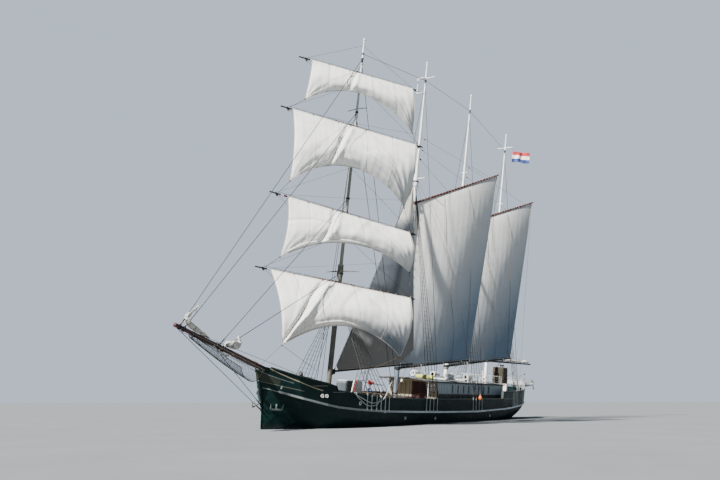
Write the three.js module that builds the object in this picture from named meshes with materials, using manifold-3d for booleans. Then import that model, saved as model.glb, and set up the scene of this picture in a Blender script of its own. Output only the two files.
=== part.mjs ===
// Four-masted barquentine under sail, as a 1:2 scale model.
// Dimensions are in metres of the full-size ship, and `place` scales them to the model's millimetres.
// +X to the bow, +Y to port, +Z up, origin on the centreline at the waterline amidships.
import * as THREE from 'three';
import { mergeVertices } from 'three/addons/utils/BufferGeometryUtils.js';
import Module from 'manifold-3d';

const wasm = await Module();
wasm.setup();

// One metre of the full-size ship on this 1:2 model, in millimetres
const METRE = 500;
// Gap between pieces that touch
const GAP = 0.001;
const V = (x, y, z) => new THREE.Vector3(x, y, z);
const rad = THREE.MathUtils.degToRad;

// Hull form
const STEM_X = 23.2;
const KEEL_Z = -3.2;
const STRAKE_HALF = 0.09;
const STRAKE_TRIM = 0.01;
const BULWARK = 0.14;
const DECK_THICK = 0.06;
const WAIST_DECK = 1.65;
const FORE_DECK = 2.95;
const QUARTER_DECK = 2.55;
const FORE_BREAK = 18.65;
const QUARTER_BREAK = -14.6;
// Stem profile: height, and how far it stands ahead of STEM_X
const STEM = [
  [-2.6, -1.6], [-2, -0.95], [-1, -0.35], [0, -0.1], [1.4, 0.01], [2.9, 0.25], [3.3, 0.56], [4.2, 1.04], [4.6, 1.2],
];
// Sections: x, share of the stem's rake, keel line, fullness, strake half-breadth and height, rail half-breadth
// and height
const STATIONS = [
  [23.2, 1.0, -2.55, 1.0, 0.1, 2.97, 0.14, 4.54],
  [22.5, 0.9, -2.75, 0.95, 1.0, 2.76, 0.75, 4.42],
  [21.3, 0.75, -2.9, 1.05, 2.25, 2.42, 2.1, 3.97],
  [19.6, 0.5, -3.0, 1.25, 3.2, 2.05, 3.15, 3.6],
  [18.75, 0.4, -3.0, 1.4, 3.45, 1.92, 3.42, 3.38],
  [18.65, 0.4, -3.0, 1.42, 3.46, 1.9, 3.44, 3.08],
  [16.5, 0.2, -3.0, 1.75, 3.78, 1.74, 3.75, 2.92],
  [13, 0, -3.0, 2.1, 3.95, 1.58, 3.92, 2.62],
  [8, 0, -3.0, 2.5, 4.0, 1.48, 3.97, 2.55],
  [2, 0, -3.0, 2.6, 4.0, 1.4, 3.97, 2.53],
  [-5, 0, -2.9, 2.4, 3.95, 1.36, 3.92, 2.53],
  [-11.9, 0, -2.35, 1.95, 3.82, 1.52, 3.8, 2.58],
  [-12, 0, -2.34, 1.95, 3.82, 1.52, 3.8, 3.36],
  [-14.6, 0, -1.8, 1.72, 3.7, 1.62, 3.7, 3.4],
  [-19.5, 0, -0.35, 1.5, 3.1, 1.88, 3.15, 3.53],
  [-22, 0, 0.55, 1.6, 2.35, 2.08, 2.45, 3.65],
  [-23.4, 0, 1.1, 1.7, 1.55, 2.2, 1.65, 3.72],
  [-24.2, 0, 1.5, 1.8, 0.8, 2.28, 0.9, 3.75],
  [-24.5, 0, 1.75, 1.8, 0.2, 2.3, 0.25, 3.76],
].map(([x, rake, keel, full, beam, strake, railBeam, rail]) => (
  { x, rake, keel, full, beam, strake, railBeam, rail }));

// Masts: foot x, rake aft in degrees, deck that it stands on, lower radius, height of the lower mast and of the
// truck, and the top's radius
const MASTS = {
  fore: { x: 15.5, rake: 1.8, foot: WAIST_DECK, radius: 0.22, lower: 13.2, truck: 34, top: 0.07 },
  main: { x: 4.88, rake: 3.11, foot: WAIST_DECK, radius: 0.21, lower: 24.2, truck: 36.6, top: 0.06 },
  mizzen: { x: -4.96, rake: 4.36, foot: WAIST_DECK, radius: 0.21, lower: 24.2, truck: 37.05, top: 0.06 },
  jigger: { x: -15.08, rake: 5.43, foot: QUARTER_DECK, radius: 0.19, lower: 24.0, truck: 35.7, top: 0.06 },
};

// Square yards: height on the mast, length and tilt. Their sails: the head's ends along the yard, the clews' place
// along it and fall, the foot's arch, the belly, and how far the leeches swell and stand over to port
const TRUSS = 0.6;
const BRACE = 46;
const YARD_SLIDE = 0.3;
const YARD_PIN = 0.04;
const YARDS = {
  course: { z: 11.66, length: 13.5, tilt: 4.5, head: [-5.41, 6.58], clews: [[-3.79, 5.57], [6.06, 5.52]], arch: 2.0,
    belly: 1.5, leech: 1.0, lee: 0.25 },
  topsail: { z: 17.68, length: 12.8, tilt: 8.5, head: [-4.75, 5.99], clews: [[-4.8, 4.49], [6.29, 4.38]], arch: 1.75,
    belly: 0.95, leech: 0.6, lee: 0.25 },
  topgallant: { z: 25.47, length: 12.7, tilt: 7, head: [-5.21, 5.91], clews: [[-4.74, 5.74], [5.33, 6.6]], arch: 2.2,
    belly: 1.3, leech: 0.8, lee: 0.15 },
  royal: { z: 30.48, length: 10.6, tilt: 6, head: [-4.06, 5.19], clews: [[-4.3, 3.33], [5.46, 4.72]], arch: 1.9,
    belly: 0.72, leech: 0.4, lee: 0.05 },
};

// Fore-and-aft sails: boom height, swing to port and length, gaff height, swing and length
const GAFF_SAILS = {
  main: { mast: 'main', z: 5.07, swing: 22, reach: 9.15, rise: 1.37, gaffZ: 21.34, gaffSwing: 31, gaffReach: 10.0,
    gaffRise: 4.8 },
  mizzen: { mast: 'mizzen', z: 5.66, swing: 22, reach: 9.6, rise: 1.5, gaffZ: 21.24, gaffSwing: 30,
    gaffReach: 10.15, gaffRise: 4.4 },
};
const CANVAS = 0.03;

// Deckhouse
const HOUSE = { front: 1.6, back: -14.5, half: 2.7, wall: 0.09, top: 4.02, camber: 0.16, eave: 1.7, roof: 0.1,
  overhang: 0.15 };
// Double door in the house front: centre and width of the opening, sill, lintel and leaf thickness
const DOOR = { y: 0.8, width: 1.56, low: 1.8, high: 3.88, leaf: 0.06, pin: 0.02, jamb: 0.047 };
const SIDE_WINDOWS = { count: 8, first: -1.7, pitch: -1.25, width: 0.28, low: 3.05, high: 3.8 };
const FRONT_WINDOW = { y: 2.2, width: 0.55, low: 3.1, high: 3.85 };

const COLOURS = {
  green: [0x0d1a16, 0.45, 0], strake: [0xb9c0bb, 0.6, 0], teak: [0x8a7355, 0.75, 0], white: [0xe8e9e6, 0.5, 0],
  black: [0x141414, 0.5, 0.1], grey: [0x9aa5a8, 0.6, 0], cream: [0xb7a88a, 0.7, 0], maroon: [0x4a1416, 0.5, 0],
  mast: [0xdfe2e0, 0.45, 0], buff: [0x8c8162, 0.55, 0], canvas: [0xe9e7e0, 0.9, 0], wire: [0x3a3d40, 0.5, 0.5],
  rope: [0xcfc8b4, 0.9, 0], steel: [0x7d8286, 0.4, 0.8], tarp: [0x6d5b42, 0.9, 0], bronze: [0x8f6f3a, 0.35, 0.9],
  roof: [0x4b5054, 0.7, 0],
};

const ship = new THREE.Group();

function place(name, geometry, colour) {
  const [hex, roughness, metalness] = COLOURS[colour];
  const scaled = geometry.clone().scale(METRE, METRE, METRE);
  const mesh = new THREE.Mesh(scaled, new THREE.MeshStandardMaterial({ color: hex, roughness, metalness }));
  mesh.name = name;
  ship.add(mesh);
  return mesh;
}

// Closed meshes from quads and triangles, turned so that their faces look outward
function closedMesh(points, faces) {
  const position = points.flatMap((p) => [p.x, p.y, p.z]);
  let volume = 0;
  for (const [a, b, c] of faces) volume += points[a].dot(points[b].clone().cross(points[c]));
  const geometry = new THREE.BufferGeometry();
  geometry.setAttribute('position', new THREE.Float32BufferAttribute(position, 3));
  geometry.setIndex((volume < 0 ? faces.map(([a, b, c]) => [a, c, b]) : faces).flat());
  return geometry;
}

// Skin over rings with equal numbers of points, capped at both ends
function loft(rings) {
  const n = rings[0].length;
  const points = rings.flat();
  const faces = [];
  for (let i = 0; i + 1 < rings.length; i++) {
    for (let j = 0; j < n; j++) {
      const [a, b] = [i * n + j, i * n + (j + 1) % n];
      faces.push([a, b, b + n], [a, b + n, a + n]);
    }
  }
  for (const [ring, first] of [[rings[0], 0], [rings.at(-1), (rings.length - 1) * n]]) {
    const centre = ring.reduce((sum, p) => sum.add(p), V(0, 0, 0)).divideScalar(n);
    const hub = points.push(centre) - 1;
    for (let j = 0; j < n; j++) {
      const edge = [first + j, first + (j + 1) % n];
      faces.push(first === 0 ? [hub, edge[1], edge[0]] : [hub, edge[0], edge[1]]);
    }
  }
  return closedMesh(points, faces);
}

function solid(geometry) {
  const bare = geometry.clone();
  bare.deleteAttribute('normal');
  bare.deleteAttribute('uv');
  const merged = mergeVertices(bare, 1e-5);
  return new wasm.Manifold(new wasm.Mesh({
    numProp: 3,
    vertProperties: new Float32Array(merged.attributes.position.array),
    triVerts: new Uint32Array(merged.index.array),
  }));
}

// Booleans leave slivers, and edges shorter than this many metres are closed up
const SLIVER = 2e-4;

function fromSolid(manifold) {
  const mesh = manifold.asOriginal().simplify(SLIVER).getMesh();
  const geometry = new THREE.BufferGeometry();
  geometry.setAttribute('position', new THREE.BufferAttribute(mesh.vertProperties, 3));
  geometry.setIndex(new THREE.BufferAttribute(mesh.triVerts, 1));
  return geometry;
}

const joined = (...parts) => fromSolid(parts.flat().map(solid).reduce((a, b) => a.add(b)));
const cut = (base, ...tools) => fromSolid(tools.flat().map(solid).reduce((a, b) => a.subtract(b), solid(base)));

// Basic forms in metres
const box = (x, y, z, sx, sy, sz) => new THREE.BoxGeometry(sx, sy, sz).translate(x, y, z);

function rod(from, to, r0, r1 = r0, sides = 8) {
  const length = from.distanceTo(to);
  const turn = new THREE.Quaternion().setFromUnitVectors(V(0, 1, 0), to.clone().sub(from).normalize());
  return new THREE.CylinderGeometry(r1, r0, length, sides)
    .translate(0, length / 2, 0)
    .applyQuaternion(turn)
    .translate(from.x, from.y, from.z);
}

// A bore of `sides` flats that clears a round of the same radius by GAP
const bore = (from, to, radius, sides = 20) => rod(from, to, (radius + GAP) / Math.cos(Math.PI / sides),
  undefined, sides);

// Open pipe around the line between two points
function collar(from, to, inner, outer, sides = 16) {
  const reach = to.clone().sub(from).multiplyScalar(0.1);
  return cut(rod(from, to, outer, outer, sides), bore(from.clone().sub(reach), to.clone().add(reach), inner));
}

// Cloth: a grid of points by two shares u and v, given a thickness along its normal
function cloth(point, nu, nv, thickness = CANVAS) {
  const step = 1e-3;
  const points = [];
  for (const side of [1, -1]) {
    for (let i = 0; i <= nu; i++) {
      for (let j = 0; j <= nv; j++) {
        const [u, v] = [i / nu, j / nv];
        const [du, dv] = [u < 0.5 ? step : -step, v < 0.5 ? step : -step];
        const p = point(u, v);
        const along = point(u + du, v).sub(p).divideScalar(du);
        const down = point(u, v + dv).sub(p).divideScalar(dv);
        points.push(p.addScaledVector(along.cross(down).normalize(), side * thickness / 2));
      }
    }
  }
  const at = (side, i, j) => side * (nu + 1) * (nv + 1) + i * (nv + 1) + j;
  const faces = [];
  const quad = (a, b, c, d) => faces.push([a, b, c], [a, c, d]);
  for (let i = 0; i < nu; i++) {
    for (let j = 0; j < nv; j++) {
      quad(at(0, i, j), at(0, i + 1, j), at(0, i + 1, j + 1), at(0, i, j + 1));
      quad(at(1, i, j), at(1, i, j + 1), at(1, i + 1, j + 1), at(1, i + 1, j));
    }
    quad(at(0, i, 0), at(1, i, 0), at(1, i + 1, 0), at(0, i + 1, 0));
    quad(at(0, i, nv), at(0, i + 1, nv), at(1, i + 1, nv), at(1, i, nv));
  }
  for (let j = 0; j < nv; j++) {
    quad(at(0, 0, j), at(0, 0, j + 1), at(1, 0, j + 1), at(1, 0, j));
    quad(at(0, nu, j), at(1, nu, j), at(1, nu, j + 1), at(0, nu, j + 1));
  }
  return closedMesh(points, faces);
}

// Hull
function stemRake(z) {
  const row = STEM.findIndex(([height]) => height >= z);
  if (row === 0) return STEM[0][1];
  if (row < 0) return STEM.at(-1)[1];
  const [[z0, x0], [z1, x1]] = [STEM[row - 1], STEM[row]];
  return x0 + (x1 - x0) * (z - z0) / (z1 - z0);
}

const rakedX = (station, z) => station.x + stemRake(z) * station.rake;

// Point on the straight topside between the strake and the rail
function topside(station, z, inset = 0) {
  const low = station.strake - STRAKE_HALF;
  const share = (z - low) / (station.rail - low);
  const y = station.beam + (station.railBeam - station.beam) * share;
  return V(rakedX(station, z), y - inset, z);
}

function portSection(station) {
  const rows = 8;
  const keelHalf = 0.08;
  const low = station.strake - STRAKE_HALF;
  const line = [];
  for (let row = 0; row <= rows; row++) {
    const turn = rad(90 * row / rows);
    const rise = 1 - Math.cos(turn) ** (2 / station.full);
    const out = Math.sin(turn) ** (2 / station.full);
    const z = station.keel + (low - station.keel) * rise;
    line.push(V(rakedX(station, z), keelHalf + (station.beam - keelHalf) * out, z));
  }
  line.push(topside(station, station.strake + STRAKE_HALF));
  line.push(topside(station, station.rail));
  return line;
}

const mirrored = (line) => line.map((p) => V(p.x, -p.y, p.z)).reverse();
const ring = (line) => [...line, ...mirrored(line)];

function well(stations, floor) {
  return loft(stations.map((station) => {
    const open = station.rail + 0.6;
    return ring([topside(station, floor, BULWARK), topside(station, station.rail, BULWARK),
      topside(station, open, BULWARK)]);
  }));
}

const WELLS = {
  fore: STATIONS.filter(({ x }) => x < 23 && x >= FORE_BREAK),
  waist: STATIONS.filter(({ x }) => x <= FORE_BREAK && x >= QUARTER_BREAK),
  quarter: STATIONS.filter(({ x }) => x <= QUARTER_BREAK && x > -24.4),
};

const RUDDER = { x: -20.6, back: -21.95, low: -3.05, stock: 0.09 };
const PROPELLER = { x: -19.7, z: -1.75, radius: 0.78, shaft: 0.08 };

function keelFin() {
  const profile = new THREE.Shape([[21.7, -2.3], [20.6, -2.95], [18.5, KEEL_Z], [-20.42, KEEL_Z], [-20.42, 0.35],
    [-19, 0], [-16, -0.8], [-10, -1.4], [18, -1.4]].map(([x, z]) => new THREE.Vector2(x, z)));
  const thick = 0.3;
  return new THREE.ExtrudeGeometry(profile, { depth: thick, bevelEnabled: false })
    .rotateX(Math.PI / 2)
    .translate(0, thick / 2, 0);
}

function hull() {
  const body = loft(STATIONS.map((station) => ring(portSection(station))));
  const aperture = box(PROPELLER.x, 0, PROPELLER.z, 0.8, 1, 2 * PROPELLER.radius + 0.2);
  const stock = bore(V(RUDDER.x, 0, -0.6), V(RUDDER.x, 0, 1.2), RUDDER.stock);
  const shaft = bore(V(PROPELLER.x, 0, PROPELLER.z), V(PROPELLER.x + 1.3, 0, PROPELLER.z), PROPELLER.shaft);
  return cut(
    joined(body, keelFin()),
    well(WELLS.fore, FORE_DECK - DECK_THICK - GAP),
    well(WELLS.waist, WAIST_DECK - DECK_THICK - GAP),
    well(WELLS.quarter, QUARTER_DECK - DECK_THICK - GAP),
    aperture, stock, shaft, spritBed(), hawsePipes(),
  );
}

// A deck lies in its well, clear of the bulwarks by GAP
function deck(stations, z) {
  const port = stations.map((station) => {
    const y = Math.min(topside(station, z, BULWARK).y, topside(station, z - DECK_THICK, BULWARK).y);
    const x = Math.min(rakedX(station, z), rakedX(station, z - DECK_THICK));
    return V(x, y - 3 * GAP, z);
  });
  port[0].x -= 2 * GAP;
  port.at(-1).x += 2 * GAP;
  const outline = ring(port).map((p) => new THREE.Vector2(p.x, p.y));
  return new THREE.ExtrudeGeometry(new THREE.Shape(outline), { depth: DECK_THICK, bevelEnabled: false })
    .translate(0, 0, z - DECK_THICK);
}

// Lines that run round the hull, from the port bow round the stern to the starboard bow
function around(stations, at) {
  const port = stations.map(at);
  return [...port, ...mirrored(port)];
}

function offset(line, distance) {
  return line.map((p, i) => {
    const before = line[Math.max(i - 1, 0)];
    const after = line[Math.min(i + 1, line.length - 1)];
    const a = V(p.x - before.x, p.y - before.y, 0);
    const b = V(after.x - p.x, after.y - p.y, 0);
    const usable = [a, b].filter((d) => d.length() > 0.02).map((d) => d.normalize());
    const normals = usable.map((d) => V(d.y, -d.x, 0));
    const mean = normals.reduce((sum, n) => sum.add(n.clone()), V(0, 0, 0)).normalize();
    const miter = 1 / Math.max(mean.dot(normals[0]), 0.4);
    return p.clone().addScaledVector(mean, distance * miter);
  });
}

const lifted = (line, dz) => line.map((p) => V(p.x, p.y, p.z + dz));
const band = (...lines) => loft(lines[0].map((_, i) => lines.map((line) => line[i])));

function railCap() {
  const top = around(STATIONS.slice(1), (station) => topside(station, station.rail));
  const [outer, inner] = [offset(top, 0.06), offset(top, -0.2)];
  return band(lifted(outer, GAP), lifted(outer, 0.08), lifted(inner, 0.08), lifted(inner, GAP));
}

function rubbingStrake() {
  const usable = STATIONS.slice(1);
  const low = around(usable, (s) => topside(s, s.strake - STRAKE_HALF + STRAKE_TRIM));
  const high = around(usable, (s) => topside(s, s.strake + STRAKE_HALF - STRAKE_TRIM));
  const [inset, proud] = [2 * GAP, 0.09];
  return band(offset(low, inset), offset(low, proud), offset(high, proud), offset(high, inset));
}

place('fore_deck', deck(WELLS.fore, FORE_DECK), 'teak');
place('waist_deck', deck(WELLS.waist, WAIST_DECK), 'teak');
place('quarter_deck', deck(WELLS.quarter, QUARTER_DECK), 'teak');

// Masts. Each mast's own frame has its foot at the waterline and z along the raked mast
function ofMast(name, geometry) {
  const { x, rake } = MASTS[name];
  return geometry.rotateY(-rad(rake)).translate(x, 0, 0);
}

function onMast(name, z, forward = 0, port = 0) {
  const { x, rake } = MASTS[name];
  return V(forward, port, z).applyAxisAngle(V(0, 1, 0), -rad(rake)).add(V(x, 0, 0));
}

// Where the lower mast's cap holds the heel of the upper one
const DOUBLING = { below: 0.9, above: 0.12, swell: 1.12 };

// Radius of a mast at a height: an even lower mast and a tapering upper one
function mastRadius(name, z) {
  const { radius, lower, truck, top } = MASTS[name];
  if (z > lower - DOUBLING.below && z < lower + DOUBLING.above) return radius * DOUBLING.swell;
  if (z <= lower) return radius;
  const heel = radius * 0.72;
  return heel + (top - heel) * (z - lower) / (truck - lower);
}

function mastPole(name) {
  const { foot, radius, lower, truck, top, rake } = MASTS[name];
  const rest = (foot + GAP + radius * Math.sin(rad(rake))) / Math.cos(rad(rake));
  return [
    rod(V(0, 0, rest), V(0, 0, lower), radius, radius, 16),
    rod(V(0, 0, lower - 0.1), V(0, 0, truck), radius * 0.72, top, 12),
    rod(V(0, 0, lower - DOUBLING.below), V(0, 0, lower + DOUBLING.above), radius * DOUBLING.swell, undefined, 12),
    new THREE.SphereGeometry(top * 1.7, 8, 6).translate(0, 0, truck),
  ];
}

const spreader = (z, half, back = 0) => [
  rod(V(-back, -half, z), V(0, 0, z), 0.045, 0.06, 6),
  rod(V(0, 0, z), V(-back, half, z), 0.06, 0.045, 6),
];

// Truss arm and pin that a yard turns on
function truss({ z }, name) {
  const arm = z - 0.19;
  return [
    box(TRUSS / 2 + 0.02, 0, arm - 0.04, TRUSS + 0.1, 0.12, 0.08),
    rod(V(TRUSS, 0, arm - 0.08), V(TRUSS, 0, z + 0.2), YARD_PIN, YARD_PIN, 8),
    rod(V(0, 0, arm - 0.3), V(0, 0, arm + 0.1), mastRadius(name, z) + 0.04, undefined, 12),
  ];
}

// The staysail turns on a line from the foremast's foot to the mainmast's head
const STAY_TACK = V(14.82, 0, 4.42);
const STAY_BAND = 23.6;
const STAY_HEAD = onMast('main', STAY_BAND, mastRadius('main', STAY_BAND) + 0.03);
const STAY_LINE = STAY_HEAD.clone().sub(STAY_TACK).normalize();
const alongStay = (distance) => STAY_TACK.clone().addScaledVector(STAY_LINE, distance);
const STAY_PIN = 0.05;

function foremast() {
  const pole = ofMast('fore', joined(
    mastPole('fore'), spreader(12.76, 1.65, 0.3), spreader(27.36, 1.15, 0.2),
    ...Object.values(YARDS).map((yard) => truss(yard, 'fore')),
  ));
  const bracket = joined(
    rod(onMast('fore', 4.2), alongStay(-0.28), 0.07, 0.07, 10),
    rod(alongStay(-0.34), alongStay(0.3), STAY_PIN, STAY_PIN, 12),
  );
  return joined(pole, bracket);
}

function mainmast() {
  const z = 34.85;
  const frame = [
    box(0.25, -0.75, z - 0.85, 0.05, 0.05, 1.7), box(0.15, -0.4, z - 1.68, 0.24, 0.75, 0.05),
    box(0.13, -0.38, z, 0.28, 0.78, 0.05),
  ];
  return ofMast('main', joined(mastPole('main'), spreader(23.92, 1.0), spreader(27.25, 0.42), spreader(z, 1.05),
    frame));
}

const mizzenmast = () => ofMast('mizzen', joined(mastPole('mizzen'), spreader(27.5, 0.35)));
const jiggermast = () => ofMast('jigger', joined(mastPole('jigger'), spreader(26.35, 0.35), spreader(33.9, 1.0)));

place('foremast', foremast(), 'buff');
place('mainmast', mainmast(), 'mast');
place('mizzenmast', mizzenmast(), 'mast');
place('jiggermast', jiggermast(), 'mast');

// Square yards and sails, in the yard's frame: x forward, y along the yard to port. A sail's corners are given level
function yardFrame(geometry, { z, tilt }) {
  return ofMast('fore', geometry
    .rotateX(-rad(tilt))
    .rotateZ(rad(BRACE))
    .translate(TRUSS, 0, z));
}

const YARD_BOSS = 0.12;
const yardRadius = (length) => (length > 11 ? 0.13 : 0.1);

function yard({ z, length, tilt }) {
  const [middle, end] = [yardRadius(length), 0.06];
  const half = length / 2;
  const spars = [-1, 1].map((side) => rod(V(0, 0, 0), V(0, side * half, 0), middle, end, 12)
    .translate(0, YARD_SLIDE * (side + 1) / 2, 0));
  const centre = rod(V(0, -0.05, 0), V(0, YARD_SLIDE + 0.05, 0), middle, middle, 12);
  const boss = rod(V(0, 0, -0.17), V(0, 0, 0.15), YARD_BOSS, YARD_BOSS, 12).rotateX(rad(tilt));
  const pin = bore(V(0, 0, -1), V(0, 0, 1), YARD_PIN, 12).rotateX(rad(tilt));
  return yardFrame(cut(joined(spars, centre, boss), pin), { z, tilt });
}

function squareSail({ z, length, tilt, head, clews, arch, belly, leech, lee }) {
  const rope = 0.022;
  const front = Math.max(yardRadius(length), YARD_BOSS) + rope + GAP;
  const slope = Math.tan(rad(tilt));
  const [weather, port] = head.map((side) => V(front, side, -side * slope));
  const past = port.clone().sub(weather).setLength(0.02);
  const headRope = rod(weather.clone().sub(past), port.clone().add(past), rope, rope, 8);
  const [tack, clew] = clews.map(([side, fall]) => V(front, side, -fall));
  const canvas = cloth((u, v) => {
    const across = 2 * u - 1;
    const edge = across ** 4;
    const high = weather.clone().lerp(port, u);
    const low = tack.clone().lerp(clew, u);
    const held = Math.sin(Math.PI * v);
    const swell = belly * Math.sin(Math.PI * 0.77 * v) * (1 - edge) ** 0.8 + leech * held * edge;
    return high.lerp(low, v).add(V(swell, lee * held, arch * v ** 1.5 * (1 - across ** 2)));
  }, 12, 8);
  return yardFrame(joined(canvas, headRope), { z, tilt: 0 });
}

for (const [name, plan] of Object.entries(YARDS)) {
  place(`${name}_yard`, yard(plan), 'maroon');
  place(`${name}_sail`, squareSail(plan), 'canvas');
}

// Gaff sails. A spar's own line starts at its mast and swings to port about the mast
const SPAR = 0.11;
const JAW = 0.13;
const sparEnd = (mast, z, swing, reach, rise) => {
  const start = onMast(mast, z);
  return start.clone().add(V(-reach * Math.cos(rad(swing)), reach * Math.sin(rad(swing)), rise));
};

function jawedSpar(mast, z, swing, reach, rise, end = 0.08) {
  const [start, tip] = [onMast(mast, z), sparEnd(mast, z, swing, reach, rise)];
  const away = tip.clone().sub(start).normalize();
  const radius = mastRadius(mast, z);
  const slope = Math.abs(away.dot(onMast(mast, z + 1).sub(start)));
  const heel = start.clone().addScaledVector(away, (radius + 0.02 + SPAR * slope) / Math.sqrt(1 - slope ** 2));
  const jaw = rod(onMast(mast, z - JAW), onMast(mast, z + JAW), radius + 0.09, undefined, 16);
  const pole = bore(onMast(mast, z - 1), onMast(mast, z + 1), radius);
  return cut(joined(jaw, rod(heel, tip, SPAR, end, 10)), pole);
}

function gaffSail({ mast, z, swing, reach, rise, gaffZ, gaffSwing, gaffReach, gaffRise }) {
  const [tack, throat] = [onMast(mast, z), onMast(mast, gaffZ)];
  const clew = sparEnd(mast, z, swing, reach - 0.15, rise * (1 - 0.15 / reach));
  const peak = sparEnd(mast, gaffZ, gaffSwing, gaffReach - 0.15, gaffRise * (1 - 0.15 / gaffReach));
  const luff = mastRadius(mast, z) + 0.12;
  const clear = SPAR + GAP;
  return cloth((u, v) => {
    const shareLow = luff / tack.distanceTo(clew);
    const shareHigh = luff / throat.distanceTo(peak);
    const low = tack.clone().lerp(clew, shareLow + (1 - shareLow) * u);
    const high = throat.clone().lerp(peak, shareHigh + (1 - shareHigh) * u);
    low.z += clear * Math.hypot(1, rise / reach);
    high.z -= clear * Math.hypot(1, gaffRise / gaffReach);
    const p = low.lerp(high, v);
    const swell = 0.75 * Math.sin(Math.PI * u) * Math.sin(Math.PI * v) ** 0.7;
    const side = rad(swing + (gaffSwing - swing) * v);
    return p.add(V(Math.sin(side), Math.cos(side), 0).multiplyScalar(swell));
  }, 8, 10);
}

for (const [name, plan] of Object.entries(GAFF_SAILS)) {
  const { mast, z, swing, reach, rise, gaffZ, gaffSwing, gaffReach, gaffRise } = plan;
  place(`${name}_boom`, jawedSpar(mast, z, swing, reach, rise), 'black');
  place(`${name}_gaff`, jawedSpar(mast, gaffZ, gaffSwing, gaffReach, gaffRise), 'maroon');
  place(name === 'main' ? 'mainsail' : `${name}_sail`, gaffSail(plan), 'canvas');
}

// Main staysail on its boom
const STAY_BOOM = { swing: 14, reach: 9.3, rise: 1.15, radius: 0.09, end: 0.07 };
function stayBoomTip(reach = STAY_BOOM.reach) {
  const { swing, rise } = STAY_BOOM;
  const share = reach / STAY_BOOM.reach;
  return STAY_TACK.clone().add(V(-reach * Math.cos(rad(swing)), reach * Math.sin(rad(swing)), rise * share));
}

function staysailBoom() {
  const eye = rod(alongStay(-0.2), alongStay(0.12), STAY_PIN + 0.12, undefined, 12);
  const away = stayBoomTip().sub(STAY_TACK).normalize();
  const heel = STAY_TACK.clone().addScaledVector(away, STAY_PIN + 0.1);
  const pin = bore(alongStay(-0.5), alongStay(0.5), STAY_PIN);
  return cut(joined(eye, rod(heel, stayBoomTip(), STAY_BOOM.radius, STAY_BOOM.end, 10)), pin);
}

function staysail() {
  const aft = V(-Math.cos(rad(STAY_BOOM.swing)), Math.sin(rad(STAY_BOOM.swing)), 0).multiplyScalar(0.06);
  const luffStart = alongStay(0.42).add(aft);
  const head = alongStay(STAY_TACK.distanceTo(STAY_HEAD) - 0.5).add(aft);
  const rest = V(0, 0, STAY_BOOM.radius + 2 * GAP);
  const tack = STAY_TACK.clone().lerp(stayBoomTip(), 0.05).add(rest);
  const footEnd = STAY_TACK.clone().lerp(stayBoomTip(), 0.8).add(rest);
  const clew = stayBoomTip(STAY_BOOM.reach - 0.1).add(V(0, 0, 1.25));
  const side = V(Math.sin(rad(STAY_BOOM.swing)), Math.cos(rad(STAY_BOOM.swing)), 0);
  const along = stayBoomTip().sub(STAY_TACK).normalize();
  return cloth((u, v) => {
    const low = u < 0.8 ? tack.clone().lerp(footEnd, u / 0.8) : footEnd.clone().lerp(clew, (u - 0.8) / 0.2);
    const luff = v < 0.02 ? tack.clone().lerp(luffStart, v / 0.02) : luffStart.clone().lerp(head, (v - 0.02) / 0.98);
    const leech = clew.clone().lerp(head, v);
    const ruled = luff.lerp(leech, u);
    const sag = low.sub(tack.clone().lerp(clew, u)).multiplyScalar((1 - v) ** 3);
    const swell = 0.55 * Math.sin(Math.PI * u) * Math.sin(Math.PI * Math.min(v + 0.06, 1));
    const tip = along.clone().multiplyScalar(0.12 * u * (1 - v));
    return ruled.add(sag).add(tip).addScaledVector(side, swell);
  }, 10, 10);
}

place('staysail_boom', staysailBoom(), 'black');
place('main_staysail', staysail(), 'canvas');

// Jigger: its sail is furled between the boom and the lowered gaff
const JIGGER_BOOM = { z: 6.7, swing: 9, reach: 10.2, rise: 0.1 };
function jiggerBoom() {
  const { z, swing, reach, rise } = JIGGER_BOOM;
  return jawedSpar('jigger', z, swing, reach, rise);
}

function furledJigger() {
  const { z, swing, reach, rise } = JIGGER_BOOM;
  const [start, tip] = [onMast('jigger', z), sparEnd('jigger', z, swing, reach, rise)];
  const sections = 14;
  const rings = [];
  for (let i = 0; i <= sections; i++) {
    const share = 0.05 + 0.9 * i / sections;
    const fat = 0.2 + 0.05 * Math.sin(i * 2.1) - 0.07 * share;
    const centre = start.clone().lerp(tip, share).add(V(0, 0, SPAR + fat));
    rings.push(Array.from({ length: 8 }, (_, k) => {
      const turn = k * Math.PI / 4;
      return centre.clone().add(V(0, Math.cos(turn) * fat, Math.sin(turn) * fat));
    }));
  }
  return loft(rings);
}

place('jigger_boom', jiggerBoom(), 'maroon');
place('jigger_furled_sail', furledJigger(), 'canvas');

// Bowsprit and what it carries
const SPRIT_HEEL = V(22.9, 0, 4.12);
const SPRIT_TIP = V(32.2, 0, 6.72);
const SPRIT = { heel: 0.22, end: 0.13, band: 0.05 };
const alongSprit = (share) => SPRIT_HEEL.clone().lerp(SPRIT_TIP, share);
const spritRadius = (share) => SPRIT.heel + (SPRIT.end - SPRIT.heel) * share;
const TIP_BAND = 0.965;

// A ring on a spar, and the eye on it that faces a point
const BAND = { half: 0.06, thick: 0.05, eye: 0.03 };
function bandOn(centre, axis, radius) {
  const half = axis.clone().normalize().multiplyScalar(BAND.half);
  return collar(centre.clone().sub(half), centre.clone().add(half), radius, radius + BAND.thick, 12);
}

function eyeOn(centre, axis, radius, target) {
  const away = target.clone().sub(centre);
  const along = axis.clone().normalize();
  away.addScaledVector(along, -away.dot(along)).normalize();
  return centre.clone().addScaledVector(away, radius + BAND.eye);
}

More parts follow.
